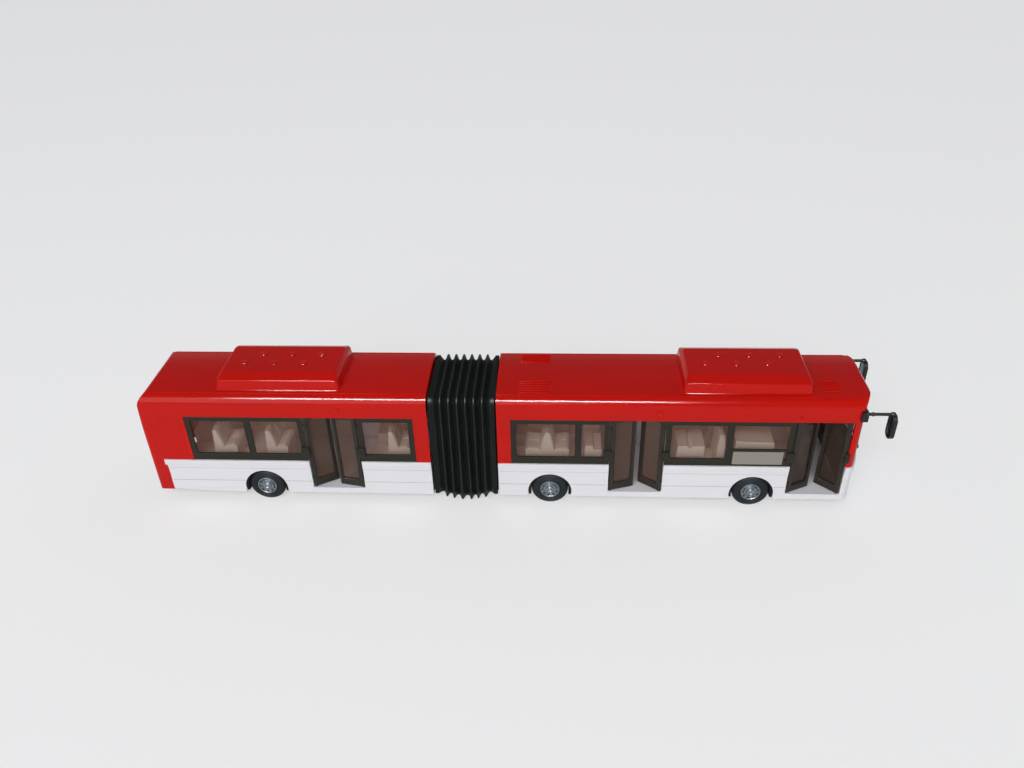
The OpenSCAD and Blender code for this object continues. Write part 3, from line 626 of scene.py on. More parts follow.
    def twin(self) -> "Form":
        """Adds a mirror image across the middle plane of the bus.

        Returns:
            The form itself.
        """
        copy = bmesh.ops.duplicate(self.mesh, geom=list(self.mesh.verts) + list(self.mesh.faces))
        verts = [g for g in copy["geom"] if isinstance(g, bmesh.types.BMVert)]
        faces = [g for g in copy["geom"] if isinstance(g, bmesh.types.BMFace)]
        bmesh.ops.scale(self.mesh, vec=(1, -1, 1), verts=verts)
        bmesh.ops.reverse_faces(self.mesh, faces=faces)
        return self

    def move(self, matrix: Matrix) -> "Form":
        """Moves everything made so far."""
        bmesh.ops.transform(self.mesh, matrix=matrix, verts=self.mesh.verts)
        return self

    def piece(self, name: str, body: Optional[str], finish: Finish, replaces: Sequence[str] = (),
              crease: float = 36.0, second: Optional[Finish] = None) -> bpy.types.Object:
        """Turns the form into a piece of the bus.

        Args:
            name: the piece's name.
            body: the CAD body that it rides on, or None to attach it to none.
            finish: what it is made of.
            replaces: CAD nodes that it stands for.
            crease: edges sharper than this many degrees stay crisp.
            second: the finish of faces whose material index is 1.

        Returns:
            The finished object.
        """
        bmesh.ops.remove_doubles(self.mesh, verts=self.mesh.verts, dist=0.003)
        bmesh.ops.recalc_face_normals(self.mesh, faces=self.mesh.faces)
        limit = math.radians(crease)
        for face in self.mesh.faces:
            face.smooth = True
        for edge in self.mesh.edges:
            if len(edge.link_faces) == 2 and edge.calc_face_angle(0.0) > limit:
                edge.smooth = False
        bmesh.ops.scale(self.mesh, vec=(MM, MM, MM), verts=self.mesh.verts)
        data = bpy.data.meshes.new(name)
        self.mesh.to_mesh(data)
        self.mesh.free()
        item = bpy.data.objects.new(name, data)
        bpy.context.scene.collection.objects.link(item)
        for coat in (finish, second):
            if coat:
                data.materials.append(coat.material)
        if replaces:
            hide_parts(*replaces)
        if body:
            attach(item, body)
        LOG.info("%s: %d faces, %s, on %s", name, len(data.polygons), finish.name, body or "two bodies")
        return item


def shrunk(outline: Sequence[Pair], inset: float) -> list[Pair]:
    """Draws an outline in towards its centre.

    Args:
        outline: its points.
        inset: how far each of its limits moves.

    Returns:
        The smaller outline.
    """
    us, vs = [u for u, _ in outline], [v for _, v in outline]
    cu, cv = (min(us) + max(us)) / 2, (min(vs) + max(vs)) / 2
    ku = 1 - 2 * inset / (max(us) - min(us))
    kv = 1 - 2 * inset / (max(vs) - min(vs))
    return [(cu + (u - cu) * ku, cv + (v - cv) * kv) for u, v in outline]


def plate(form: Form, outline: Sequence[Pair], out: Callable[[Sequence[float], float], Triple],
          proud: float, sink: float = 0.2, edge: float = 0.25) -> None:
    """Adds a flat plate with a softened edge.

    Args:
        form: the form that it becomes part of.
        outline: its outline, as pairs.
        out: places a pair at a height above the surface that the plate lies on.
        proud: how far its face stands out.
        sink: how deep its foot lies.
        edge: width of the softened edge.
    """
    levels = ((0.0, -sink), (0.0, proud - edge * 0.7), (edge * 0.3, proud - edge * 0.2), (edge, proud))
    form.loft([[out(p, height) for p in shrunk(outline, inset)] for inset, height in levels])


# ---------------------------------------------------------------- the body's own form

@dataclass(frozen=True)
class Body:
    """The outer form of both cars, as the frame has it."""
    tail: float = box("rear_shell")[0].x
    rear_end: float = box("rear_shell")[1].x
    front_end: float = box("front_shell")[0].x
    nose: float = box("front_shell")[1].x
    half_w: float = box("rear_shell")[1].y
    roof_z: float = box("rear_shell")[1].z
    belt_z: float = box("windscreen")[0].z
    head_z: float = box("windscreen")[1].z + 0.6
    crown: float = 1.3
    gutter_in: float = 4.2
    shoulder_r: float = 6.0
    bow_r: float = 52.0
    corner_r: float = 4.0
    lean_drop: float = 16.0
    lean_slope: float = 1.6 / 22.6

    @property
    def gutter_z(self) -> float:
        """Level of the gutter line."""
        return self.roof_z - self.crown

    @property
    def shoulder_z(self) -> float:
        """Level where the side wall starts to round into the roof."""
        return self.gutter_z - self.shoulder_r

    def roof(self, y: float) -> float:
        """Finds the height of the crowned roof.

        Args:
            y: how far from the middle plane.

        Returns:
            Its height above the floor.
        """
        half = self.half_w - self.gutter_in
        radius = (half ** 2 + self.crown ** 2) / (2 * self.crown)
        return self.roof_z - radius + math.sqrt(radius ** 2 - y ** 2)

    def nose_x(self, y: float, out: float = 0.0) -> float:
        """Finds where the bowed nose lies.

        Args:
            y: how far from the middle plane.
            out: how far ahead of its surface.

        Returns:
            Its row X.
        """
        bow, corner = self.bow_r, self.corner_r
        side = self.half_w - corner
        if abs(y) * (bow - corner) <= side * (bow + out):
            return self.nose - bow + math.sqrt((bow + out) ** 2 - y ** 2)
        corner_x = self.nose - bow + math.sqrt((bow - corner) ** 2 - side ** 2)
        return corner_x + math.sqrt(max(0.0, (corner + out) ** 2 - (abs(y) - side) ** 2))

    def tail_x(self, z: float) -> float:
        """Row X of the tail's face at z: upright below, leaning forward above."""
        return self.tail + max(0.0, z - self.head_z + self.lean_drop) * self.lean_slope

    def on_nose(self, at: Sequence[float], out: float) -> Triple:
        """Places (y, z) on the nose."""
        return self.nose_x(at[0], out), at[0], at[1]

    def on_tail(self, at: Sequence[float], out: float) -> Triple:
        """Places (y, z) on the tail."""
        return self.tail_x(at[1]) - out, at[0], at[1]

    def on_left(self, at: Sequence[float], out: float) -> Triple:
        """Places (x, z) on the left side wall."""
        return at[0], self.half_w + out, at[1]

    def on_right(self, at: Sequence[float], out: float) -> Triple:
        """Places (x, z) on the right side wall."""
        return at[0], -self.half_w - out, at[1]


BUS = Body()


def sta(station: float) -> float:
    """Row X of a station."""
    return BUS.tail + station


# ---------------------------------------------------------------- roof

@dataclass
class RoofTrim:
    """Gutter beads along both roofs, louvres on the front one and plugs above the doorways."""
    plugs: tuple[tuple[str, float, float, float], ...] = (
        ("rear", 105.5, 60.1, 1.5), ("front", 269.6, 60.2, 1.5), ("front", 338.8, 58.9, 0.7))
    bead: float = 0.3
    rib: float = 0.5
    ribs: int = 6
    bead_out: float = 0.05
    bead_down: float = 0.08

    def gutters(self, name: str, body: str, start: float, end: float) -> None:
        """Builds the bead along each edge of one roof.

        Args:
            name: the piece's name.
            body: the body that it rides on.
            start, end: where the beads start and end, in row X.
        """
        form = Form()
        y, z = BUS.half_w - BUS.gutter_in + self.bead_out, BUS.gutter_z - self.bead_down
        form.rib((start, y, z), (end, y, z), self.bead)
        form.twin().piece(name, body, Finish.RED)

    def louvre(self, form: Form, x: Pair, y: float, pitch: float) -> None:
        """Adds one louvre of parallel ribs.

        Args:
            form: the form that it becomes part of.
            x: the stations of its two ends.
            y: where its innermost rib lies; the others follow towards the right-hand side.
            pitch: distance between the ribs.
        """
        for k in range(self.ribs):
            at = y - k * pitch
            form.rib((sta(x[0]), at, BUS.roof(at) + 0.02), (sta(x[1]), at, BUS.roof(at) + 0.02), self.rib)

    def build(self) -> None:
        """Builds everything on the two roofs but their units."""
        self.gutters("rear_roof_gutters", "rear_car", BUS.tail + 7, BUS.rear_end - 0.4)
        self.gutters("front_roof_gutters", "front_car", BUS.front_end + 0.4, BUS.nose - 6.2)
        form = Form()
        self.louvre(form, (198, 214), -9, 1.85)
        form.twin()
        self.louvre(form, (348.8, 359.2), -7.2, 1.6)
        form.piece("front_roof_louvres", "front_car", Finish.RED)
        for car in ("rear", "front"):
            form = Form()
            for _, x, z, r in (plug for plug in self.plugs if plug[0] == car):
                form.lathe([(0, 0.2), (r, 0.2), (r, -0.12), (r * 0.9, -0.22), (r * 0.8, -0.06),
                            (r * 0.56, -0.06), (r * 0.5, -0.4), (r * 0.3, -0.62), (0, -0.68)],
                           (sta(x), -BUS.half_w, z), "Y", 24)
            form.piece(f"{car}_rail_plugs", f"{car}_car", Finish.RED)


@dataclass
class SkirtShadeBeads:
    """Fine beads under the steps of the white skirts, along both cars, grey as painted shade under each
    step.
    """
    bead: float = 0.13
    arch: float = 11.6
    lines: tuple[Pair, ...] = ((24.35, 0.42), (22.35, 0.22), (13.75, 0.05))
    rows: tuple[tuple[str, int, tuple[Pair, ...]], ...] = (
        ("rear", -1, ((9.2, 85.8), (114.9, 151.0))), ("rear", 1, ((9.2, 151.0),)),
        ("front", -1, ((187.2, 244.2), (273.4, 337.0))), ("front", 1, ((187.2, 366.0),)))

    def build(self) -> None:
        """Builds the beads, broken at the doorways and the wheel arches."""
        for car in ("rear", "front"):
            form = Form()
            for _, side, spans in (row for row in self.rows if row[0] == car):
                for z, out in self.lines:
                    y = side * (BUS.half_w + out)
                    for start, end in self.clear(spans, z):
                        form.rib((sta(start), y, z), (sta(end), y, z), self.bead, 6)
            # The beads' grey is painted shade under each step.
            form.piece(f"{car}_skirt_shade_beads", f"{car}_car", Finish.LINE)

    def clear(self, spans: Sequence[Pair], z: float) -> Iterator[Pair]:
        """Breaks spans at the wheel arches.

        Args:
            spans: the stations of their ends.
            z: the level at which the arches are met.

        Returns:
            The stretches that are left.
        """
        for start, end in spans:
            for axle in ("rear", "middle", "front"):
                low, high = box(f"{axle}_tyres")
                mid = (low.x + high.x) / 2 - BUS.tail
                rise = z - (low.z + high.z) / 2 + 0.8
                if start < mid < end and rise < self.arch:
                    half = math.sqrt(self.arch ** 2 - rise ** 2) + 0.3
                    yield start, mid - half
                    start = mid + half
            yield start, end


@dataclass
class RoofUnit:
    """Moulded air-conditioning unit with drafted sides, a soft top edge and six fan caps."""
    car: str
    caps_back: float = 0.0
    corner: float = 1.9
    cap_r: float = 1.9
    cap_pitch: float = 15.6
    cap_start: float = 12.3
    cap_y: float = 4.2
    levels: tuple[Triple, ...] = (
        (-0.1, 18.2, 0.0), (5.6, 17.66, 0.92), (5.95, 17.5, 1.05), (6.15, 17.2, 1.22),
        (8.15, 12.9, 2.45), (8.28, 12.6, 2.62), (8.3, 12.2, 2.85))

    def build(self) -> None:
        """Builds the unit, its flange, its caps and the gate mark left by moulding."""
        node = f"{self.car}_roof_unit"
        low, high = box(node)
        form = Form()
        form.loft([[(x, y, BUS.gutter_z + rise) for x, y in
                    rounded(low.x + draw, high.x - draw, -half, half, self.corner, 6)]
                   for rise, half, draw in self.levels])
        foot = rounded(low.x - 0.25, high.x + 0.25, -18.4, 18.4, self.corner + 0.3, 6)
        form.loft([[(x, y, BUS.gutter_z + rise) for x, y in shrunk(foot, inset)]
                   for inset, rise in ((0, -0.2), (0, 0.5), (0.15, 0.68), (0.5, 0.75))])
        top = BUS.gutter_z + self.levels[-1][0]
        for i in range(6):
            y = self.caps_back + self.cap_y * (1 if i % 2 else -1)
            centre = (low.x + self.cap_start + self.cap_pitch * i / 2, y, top)
            form.lathe([(0, -0.2), (self.cap_r, -0.2), (self.cap_r, 0.3), (self.cap_r - 0.12, 0.44),
                        (self.cap_r - 0.4, 0.5), (0.7, 0.58), (0, 0.6)], centre, "Z", 32)
        form.dome(((low.x + high.x) / 2, -15.1, BUS.gutter_z + 7.08), "Z", 0.42, 0.18, 16)
        form.piece(f"{self.car}_roof_cowl", f"{self.car}_car", Finish.RED, [node])


# ---------------------------------------------------------------- bellows

@dataclass
class Bellows:
    """Pleated cloth between the two cars, sagging a little towards its lower edge."""
    folds: int = 6
    crest: float = 0.7
    ridge_in: float = 0.2
    valley_in: float = 3.5
    end_in: float = 1.0
    low: float = 5.6
    sag: float = 3.3
    cloth: float = 0.35
    lift: float = 0.3
    sway: float = 0.5

    def section(self, x: float, inset: float, low: float, shift: float) -> list[Triple]:
        """One ring of the sleeve, from the lower right edge over the roof to the lower left.

        Args:
            x: where the ring lies.
            inset: how far it lies inside the body's own section.
            low: level of its lower ends.
            shift: how far its lower ends lie forward of its top.

        Returns:
            Its points.
        """
        width, radius = BUS.half_w - inset, BUS.shoulder_r - inset + 0.3
        knee = BUS.shoulder_z - 0.3
        half: list[Pair] = [(width, low + (knee - low) * i / 14) for i in range(15)]
        half += [(width - radius + radius * math.cos(a), knee + radius * math.sin(a))
                 for a in (math.radians(11.25 * i) for i in range(1, 9))]
        half += [((width - radius) * (1 - i / 8), knee + radius - 0.35 * (i / 8) ** 2) for i in range(1, 9)]
        right = [(x + shift * (1 - z / BUS.roof_z) ** 1.5, -y, z) for y, z in half]
        left = [(px, -y, z) for px, y, z in reversed(right[:-1])]
        return right + left

    def build(self) -> None:
        """Builds the sleeve, attached to neither car."""
        low, high = box("bellows")
        pitch = (high.x - low.x) / (self.folds + 1)
        stops: list[tuple[float, float, bool]] = [(low.x - 0.1, self.end_in, False)]
        for i in range(self.folds + 1):
            valley = low.x + pitch * (i + 0.5)
            stops.append((valley - pitch * 0.2, self.valley_in * 0.62 + 0.55, False))
            stops.append((valley, self.valley_in, False))
            stops.append((valley + pitch * 0.2, self.valley_in * 0.62 + 0.55, False))
            if i < self.folds:
                ridge, half = valley + pitch / 2, self.crest / 2
                stops += [(ridge - half - 0.12, self.ridge_in + 0.3, False),
                          (ridge - half + 0.1, self.ridge_in, True),
                          (ridge + half - 0.1, self.ridge_in + 0.02, False),
                          (ridge + half + 0.12, self.ridge_in + 0.3, False)]
        stops.append((high.x + 0.1, self.end_in, False))
        form = Form()
        rings = []
        for x, inset, _ in stops:
            share = (x - low.x) / (high.x - low.x)
            hang = math.sin(math.pi * min(1, max(0, share)))
            pleat = self.lift * (inset - self.ridge_in) / (self.valley_in - self.ridge_in)
            shift = self.sway * math.sin(2.1 * share * self.folds + 0.6) * hang
            rings.append(self.section(x, inset, self.low - self.sag * hang + pleat, shift))
        faces = form.loft(rings, caps=False, loop=False)
        span = len(rings[0]) - 1
        # The ridge-top faces take the second, lighter finish: a painted highlight along each ridge.
        for row, (_, _, painted_gleam) in enumerate(stops[:-1]):
            if painted_gleam:
                for face in faces[row * span:(row + 1) * span]:
                    face.material_index = 1
        item = form.piece("bellows_sleeve", None, Finish.BELLOWS, ["bellows"], 40, Finish.RIDGE)
        thick = item.modifiers.new("cloth", "SOLIDIFY")
        thick.thickness = self.cloth * MM
        thick.offset = -1.0
        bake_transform(item)


# ---------------------------------------------------------------- wheels

@dataclass
class Arches:
    """Dark liners in one axle's arches: a band inside the skirt's edge and a wall behind the tyre."""
    axle: str
    radius: float = 11.5
    band: float = 1.3
    depth: float = 8.5
    hub: float = 5.6

    def build(self) -> None:
        """Sweeps one side's section round the arch and twins it."""
        low, high = box(f"{self.axle}_tyres")
        x, z = (low.x + high.x) / 2, (low.z + high.z) / 2 - 0.4
        outer, back = BUS.half_w - 0.45, BUS.half_w - self.depth
        inner = self.radius - self.band
        section = [(inner, outer - 0.2), (inner + 0.2, outer), (self.radius, outer),
                   (self.radius, back - 0.4), (self.hub, back - 0.4), (self.hub, back),
                   (inner - 0.4, back), (inner, back + 0.4)]
        form = Form()
        form.loft([[(x + r * math.cos(a), y, z + r * math.sin(a)) for r, y in section]
                   for a in (math.radians(-14 + 208 * i / 40) for i in range(41))])
        car = "rear_car" if self.axle == "rear" else "front_car"
        form.twin().piece(f"{self.axle}_arch_liners", car, Finish.LINER, crease=35)


@dataclass
class Wheels:
    """The tyres and hubs of one axle."""
    axle: str
    tread: float = 9.75
    rim: float = 5.2
    holes: int = 10
    hole_row: int = 9
    steps: int = 60
    lugs: int = 40
    tyre_w: float = 7.4
    nut_ring: float = 2.55
    nut_r: float = 0.27

    @property
    def body(self) -> str:
        """The body that they turn with."""
        return f"{self.axle}_wheels"

    def tyres(self) -> None:
        """Builds both tyres: beads, raised rings on the sidewall, shoulder lugs and tread grooves."""
        node = f"{self.axle}_tyres"
        low, high = box(node)
        centre = ((low.x + high.x) / 2, high.y - self.tyre_w / 2, (low.z + high.z) / 2)
        side = [(self.rim - 0.1, 2.9), (5.55, 3.35), (5.75, 3.6), (6.1, 3.62), (6.3, 3.68), (6.42, 3.82),
                (6.6, 3.82), (6.7, 3.7), (7.6, 3.66), (7.7, 3.76), (7.85, 3.76), (7.95, 3.62),
                (8.5, 3.45), (8.62, 3.5), (8.75, 3.42), (9.15, 3.05), (9.45, 2.7), (9.66, 2.3),
                (self.tread, 1.9)]
        grooves = []
        for y in (1.3, 0.0, -1.3):
            grooves += [(self.tread, y + 0.2), (self.tread - 0.32, y + 0.12), (self.tread - 0.32, y - 0.12),
                        (self.tread, y - 0.2)]
        profile = side + grooves + [(r, -t) for r, t in reversed(side)]
        form = Form()
        form.lathe(profile + [profile[0]], centre, "Y", 96)
        for x, z in wheel_points(1.0, self.lugs, 2):
            ring = Vector((x, 0, z))
            across = Vector((z, 0, -x))
            for sign in (1, -1):
                spots = ((8.75, 3.2), (9.0, 3.38), (9.5, 2.95), (9.72, 2.3), (9.5, 1.9))
                form.loft([[Vector(centre) + ring * r + across * w + Vector((0, sign * t, 0))
                            for r, t in spots] for w in (-0.24, 0.24)])
        form.twin().piece(f"{self.axle}_tyre_pair", self.body, Finish.TYRE, [node], 30)

    def hubs(self) -> None:
        """Builds both hubs: bright outer ring, ring of hand holes whose floors wear black trim as painted
        shade, nuts and a stepped cap.
        """
        node = f"{self.axle}_hubs"
        low, high = box(node)
        centre = Vector(((low.x + high.x) / 2, high.y, (low.z + high.z) / 2))
        form = Form()
        profile = [(0, -11.9), (2.2, -11.9), (2.2, -5.2), (self.rim, -5.0), (self.rim, -0.3),
                   (5.12, -0.08), (4.95, 0.0), (4.72, -0.02), (4.6, -0.16), (4.5, -0.7), (3.62, -0.95),
                   (3.5, -0.8), (3.38, -0.2), (3.2, -0.1), (3.05, -0.16), (2.95, -0.6), (2.15, -0.66),
                   (2.05, -0.5), (2.0, 0.02), (1.86, 0.12), (1.5, 0.14), (1.42, 0.04), (1.2, 0.04),
                   (1.12, 0.14), (0.62, 0.2), (0.55, 0.12), (0.4, 0.12), (0, 0.2)]
        faces = form.lathe(profile, centre, "Y", self.steps)
        bmesh.ops.recalc_face_normals(form.mesh, faces=form.mesh.faces)
        row = faces[self.hole_row * self.steps:(self.hole_row + 1) * self.steps]
        bay = self.steps // self.holes
        for k in range(self.holes):
            hole = [row[(k * bay + i) % self.steps] for i in range(bay // 2)]
            bmesh.ops.inset_region(form.mesh, faces=hole, thickness=0.1, depth=-0.7, use_even_offset=True)
            # Painted shade: the floors of the hand holes take the black trim finish.
            for face in hole:
                face.material_index = 1
        for x, z in wheel_points(self.nut_ring, self.holes, 9):
            spot = centre + Vector((x, 0, z))
            form.prism([(spot.x + u, spot.z + v) for u, v in wheel_points(self.nut_r, 6)], "Y",
                       high.y - 0.7, high.y - 0.12, 0.07)
        form.twin().piece(f"{self.axle}_hub_pair", self.body, Finish.HUB, [node], 30, Finish.TRIM)

    def build(self) -> None:
        """Builds the tyres and the hubs."""
        self.tyres()
        self.hubs()


# ---------------------------------------------------------------- doors and windows

@dataclass
class DoorLeaf:
    """Seals, hinge knuckles, kick plates and grab bar of one door leaf."""
    door: str
    side: str
    length: float = 12.75
    half_t: float = 0.9
    low: float = 10.0
    high: float = 55.4
    stiles: Pair = (1.1, 1.4)
    rails: Pair = (3.8, 1.6)
    grips: Pair = (24.0, 38.0)

    def stand(self, form: Form) -> Form:
        """Moves a form to where the leaf stands at rest.

        Args:
            form: the form, drawn along +X from the hinge.

        Returns:
            The same form.
        """
        joint = JOINTS[f"{self.door}_door_{self.side}_hinge"]
        x, y, _ = joint["pos_m"]
        turn = math.radians(-joint["range_deg"][0])
        aft = self.side == "aft"
        flip = Matrix.Identity(4) if aft else Matrix.Scale(-1, 4, (1, 0, 0))
        return form.move(Matrix.Translation((x / MM, y / MM, 0))
                         @ Matrix.Rotation(turn if aft else -turn, 4, "Z") @ flip)

    def finish(self, form: Form, part: str, finish: Finish) -> None:
        """Stands a form in its place and makes it a piece of the leaf."""
        body = f"{self.door}_door_{self.side}"
        self.stand(form).piece(f"{body}_{part}", body, finish)

    def build(self) -> None:
        """Builds every part of the leaf."""
        u0, u1 = self.stiles[0], self.length - self.stiles[1]
        z0, z1 = self.low + self.rails[0], self.high - self.rails[1]
        seals = Form()
        outer = rounded(u0 - 0.15, u1 + 0.15, z0 - 0.15, z1 + 0.15, 0.5)
        inner = rounded(u0 + 0.35, u1 - 0.35, z0 + 0.35, z1 - 0.35, 0.9)
        for sign in (-1, 1):
            seals.rim(outer, inner, lambda at, out: (at[0], sign * (self.half_t - 0.15 + out), at[1]),
                      0.42, 0.22)
        seals.block((self.length - 0.3, -0.45, self.low + 0.6), (self.length + 0.14, 0.45, self.high - 0.5),
                    0.2, "Z")
        self.finish(seals, "seals", Finish.TRIM)
        metal = Form()
        for z in (self.low + 6, self.high - 5, (self.low + self.high) / 2):
            metal.lathe([(0, -1.1), (0.92, -1.1), (1.02, -0.95), (1.02, 0.95), (0.92, 1.1), (0, 1.1)],
                        (0, 0, z), "Z", 20)
        metal.lathe([(0, -0.35), (0.8, -0.35), (1.0, -0.2), (1.02, 1.0), (0.8, 1.3), (0, 1.3)],
                    (0, 0, self.low), "Z", 20)
        self.finish(metal, "hinge_fittings", Finish.TRIM)
        rail = Form()
        for sign in (-1, 1):
            plate(rail, rounded(1.5, self.length - 0.7, self.low + 0.5, z0 - 0.7, 0.4),
                  lambda at, out: (at[0], sign * (self.half_t + out), at[1]), 0.12, 0.1, 0.12)
        x = self.length - 0.75
        for z in self.grips:
            rail.tube([(x, 0.8, z), (x, 1.3, z)], 0.28)
        rail.rib((x, 1.35, self.grips[0] - 1.2), (x, 1.35, self.grips[1] + 1.2), 0.3)
        self.finish(rail, "rails", Finish.DOOR)


@dataclass
class Windows:
    """Moulded rims round the panes of both cars and the keepers of the door hinges."""
    sill: float = 31.8
    head: float = 53.5
    face: float = -0.2
    rim: float = 0.4
    corner: float = 0.55
    keeper: float = 1.12
    panes: tuple[tuple[str, str, tuple[Pair, ...]], ...] = (
        ("rear", "right", ((26.4, 55.5), (58.1, 83.8), (116.9, 141.4))),
        ("rear", "left", ((26.4, 55.5), (58.1, 83.9), (86.5, 114.2), (116.8, 141.4))),
        ("front", "right", ((196.2, 227.2), (229.8, 242.3), (275.4, 304.1), (306.7, 335.1))),
        ("front", "left", ((196.2, 227.2), (229.8, 242.4), (245.0, 272.7), (275.3, 304.1),
                           (306.7, 335.2), (337.8, 363.4))))
    jambs: tuple[tuple[str, Pair], ...] = (
        ("rear", (86.2, 114.5)), ("front", (244.7, 273.0)), ("front", (337.5, 365.8)))

    def rims(self) -> None:
        """Builds the rims round the panes."""
        for car in ("rear", "front"):
            form = Form()
            for _, side, row in (entry for entry in self.panes if entry[0] == car):
                place = BUS.on_right if side == "right" else BUS.on_left
                for start, end in row:
                    edges = (sta(start), sta(end), self.sill, self.head)
                    outer = rounded(edges[0] - 0.3, edges[1] + 0.3, edges[2] - 0.3, edges[3] + 0.3, 0.5)
                    inner = rounded(edges[0] + self.rim, edges[1] - self.rim, edges[2] + self.rim,
                                    edges[3] - self.rim, self.corner)
                    form.rim(outer, inner, lambda at, out: place(at, self.face + out), 0.6, 0.12)
            form.piece(f"{car}_pane_rims", f"{car}_car", Finish.FRAME)

    def keepers(self) -> None:
        """Builds the round-topped covers of the keepers beside each doorway."""
        for car in ("rear", "front"):
            form = Form()
            for _, jamb in (entry for entry in self.jambs if entry[0] == car):
                for station, away in zip(jamb, (-1, 1)):
                    width = 2.2 if station > 360 else 4.4
                    near = sta(station) - away * 1.8
                    far = near + away * (width + 0.3)
                    block = rounded(min(near, far), max(near, far), BUS.belt_z + 3.1, BUS.belt_z + 9.1,
                                    0.9 if width > 3 else 0.6)
                    plate(form, block, BUS.on_right, self.keeper, 0.15, 0.4)
                    rib = sta(station) + away * (width / 2 - 1.7)
                    form.rib((rib - 0.9, -BUS.half_w - self.keeper, BUS.belt_z + 6.1),
                             (rib + 0.9, -BUS.half_w - self.keeper, BUS.belt_z + 6.1), 0.22)
            form.piece(f"{car}_door_keepers", f"{car}_car", Finish.FRAME)

    def build(self) -> None:
        """Builds the rims and the keepers."""
        self.rims()
        self.keepers()


# ---------------------------------------------------------------- nose

@dataclass
class Nose:
    """Sign bezel, wipers, lamps, intake, blank plate and bumper lines of the front end."""
    sign_half: float = 17.0
    sign_z: Pair = (56.0, 62.0)
    lamp_y: Pair = (13.0, 20.0)
    lamp_z: Pair = (13.0, 18.5)
    bulb_r: float = 1.18

    def strip(self, form: Form, y: Pair, z: Pair, sink: float, proud: float, edge: float = 0.15) -> None:
        """Adds a band that follows the nose.

        Args:
            form: the form that it becomes part of.
            y, z: its limits.
            sink, proud: how deep and how far out it reaches.
            edge: how far its outer edges are drawn in.
        """
        count = max(2, math.ceil((y[1] - y[0]) / 1.5))
        rings = []
        for i in range(count + 1):
            at = y[0] + (y[1] - y[0]) * i / count
            out = proud - (edge if i in (0, count) else 0)
            rings.append([BUS.on_nose((at, z[0]), -sink), BUS.on_nose((at, z[0]), out - edge),
                          BUS.on_nose((at, z[0] + edge), out), BUS.on_nose((at, z[1] - edge), out),
                          BUS.on_nose((at, z[1]), out - edge), BUS.on_nose((at, z[1]), -sink)])
        form.loft(rings)

    def bezel(self) -> None:
        """Builds the bezel of the destination sign and its blank panel."""
        form = Form()
        outline = rounded(-self.sign_half - 0.3, self.sign_half + 0.3, self.sign_z[0] - 0.3,
                          self.sign_z[1] + 0.3, 1.0, 4, 1.5)
        form.rim(outline, shrunk(outline, 0.95), BUS.on_nose, 0.3, 0.14)
        form.piece("sign_bezel", "front_car", Finish.TRIM)
        panel = Form()
        self.strip(panel, (-self.sign_half + 1.2, self.sign_half - 1.2),
                   (self.sign_z[0] + 1.0, self.sign_z[1] - 1.0), 0.4, -0.02, 0.06)
        panel.piece("sign_blank", "front_car", Finish.DASH)

    def wipers(self) -> None:
        """Builds the two wipers, parked low on the windscreen."""
        form = Form()
        for pivot, tip in ((-4.5, -17.5), (14.5, 1.5)):
            base = BUS.on_nose((pivot, BUS.belt_z + 2.0), 0.0)
            form.lathe([(0, -0.4), (0.75, -0.4), (0.75, 0.5), (0.5, 0.8), (0, 0.85)], base, "X", 20)
            middle = (pivot + tip) / 2
            form.tube([BUS.on_nose((pivot + (middle - pivot) * t, BUS.belt_z + 2.0 + 4.6 * t), 0.75)
                       for t in (0, 0.25, 0.5, 0.75, 1)], [0.34, 0.32, 0.28, 0.24, 0.2])
            blade = [(pivot + (tip - pivot) * t, BUS.belt_z + 5.2 + 2.8 * t) for t in
                     (i / 10 for i in range(11))]
            form.tube([BUS.on_nose(at, 0.42) for at in blade], 0.2)
            form.tube([BUS.on_nose((y, z - 0.25), 0.12) for y, z in blade], 0.16, 6)
        form.piece("wipers", "front_car", Finish.TRIM)

    def lamps(self) -> None:
        """Builds each headlamp: reflector, two lamps with bulbs, amber indicator and clear cover."""
        base, amber, cover = Form(), Form(), Form()
        y, z = self.lamp_y, self.lamp_z
        self.strip(base, (y[0] + 0.15, y[1] - 0.15), (z[0] + 0.15, z[1] - 0.15), 0.95, -0.72, 0.08)
        middle = (z[0] + z[1]) / 2
        for at in (y[0] + 1.9, y[0] + 4.45):
            r = self.bulb_r
            base.lathe([(r, -0.05), (r + 0.05, 0.36), (r - 0.12, 0.4), (r - 0.25, 0.3),
                        (r - 0.6, 0.08), (0.45, 0.02), (0.4, 0.28), (0.2, 0.38), (0, 0.4)],
                       BUS.on_nose((at, middle), -0.72), "X", 28)
        plate(amber, rounded(y[1] - 1.35, y[1] - 0.35, z[0] + 0.5, z[1] - 0.5, 0.3), BUS.on_nose,
              -0.32, 0.8, 0.2)
        self.strip(cover, (y[0] + 0.12, y[1] - 0.12), (z[0] + 0.12, z[1] - 0.12), 0.2, 0.02, 0.12)
        base.twin().piece("headlamp_reflectors", "front_car", Finish.CHROME, ["headlamps"])
        amber.twin().piece("headlamp_indicators", "front_car", Finish.AMBER_LENS)
        cover.twin().piece("headlamp_covers", "front_car", Finish.CLEAR)

    def apron(self) -> None:
        """Builds the intake, the bumper lines and a blank plate between the lamps."""
        dark, white, pale = Form(), Form(), Form()
        for k in range(4):
            self.strip(dark, (-10.5, 10.5), (7.4 + 1.25 * k, 8.1 + 1.25 * k), 0.3, 0.42, 0.12)
        outline = rounded(-11.4, 11.4, 6.7, 13.2, 0.9, 4, 1.5)
        dark.rim(outline, shrunk(outline, 0.6), BUS.on_nose, 0.3, 0.5)
        for z in (20.0, 21.0):
            self.strip(white, (-19.5, 19.5), (z, z + 0.4), 0.2, 0.16, 0.1)
        self.strip(pale, (-5.6, 5.6), (15.0, 18.2), 0.2, 0.3, 0.12)
        dark.piece("nose_intake", "front_car", Finish.TRIM)
        white.piece("nose_bumper_lines", "front_car", Finish.WHITE)
        pale.piece("nose_blank_plate", "front_car", Finish.PLATE)

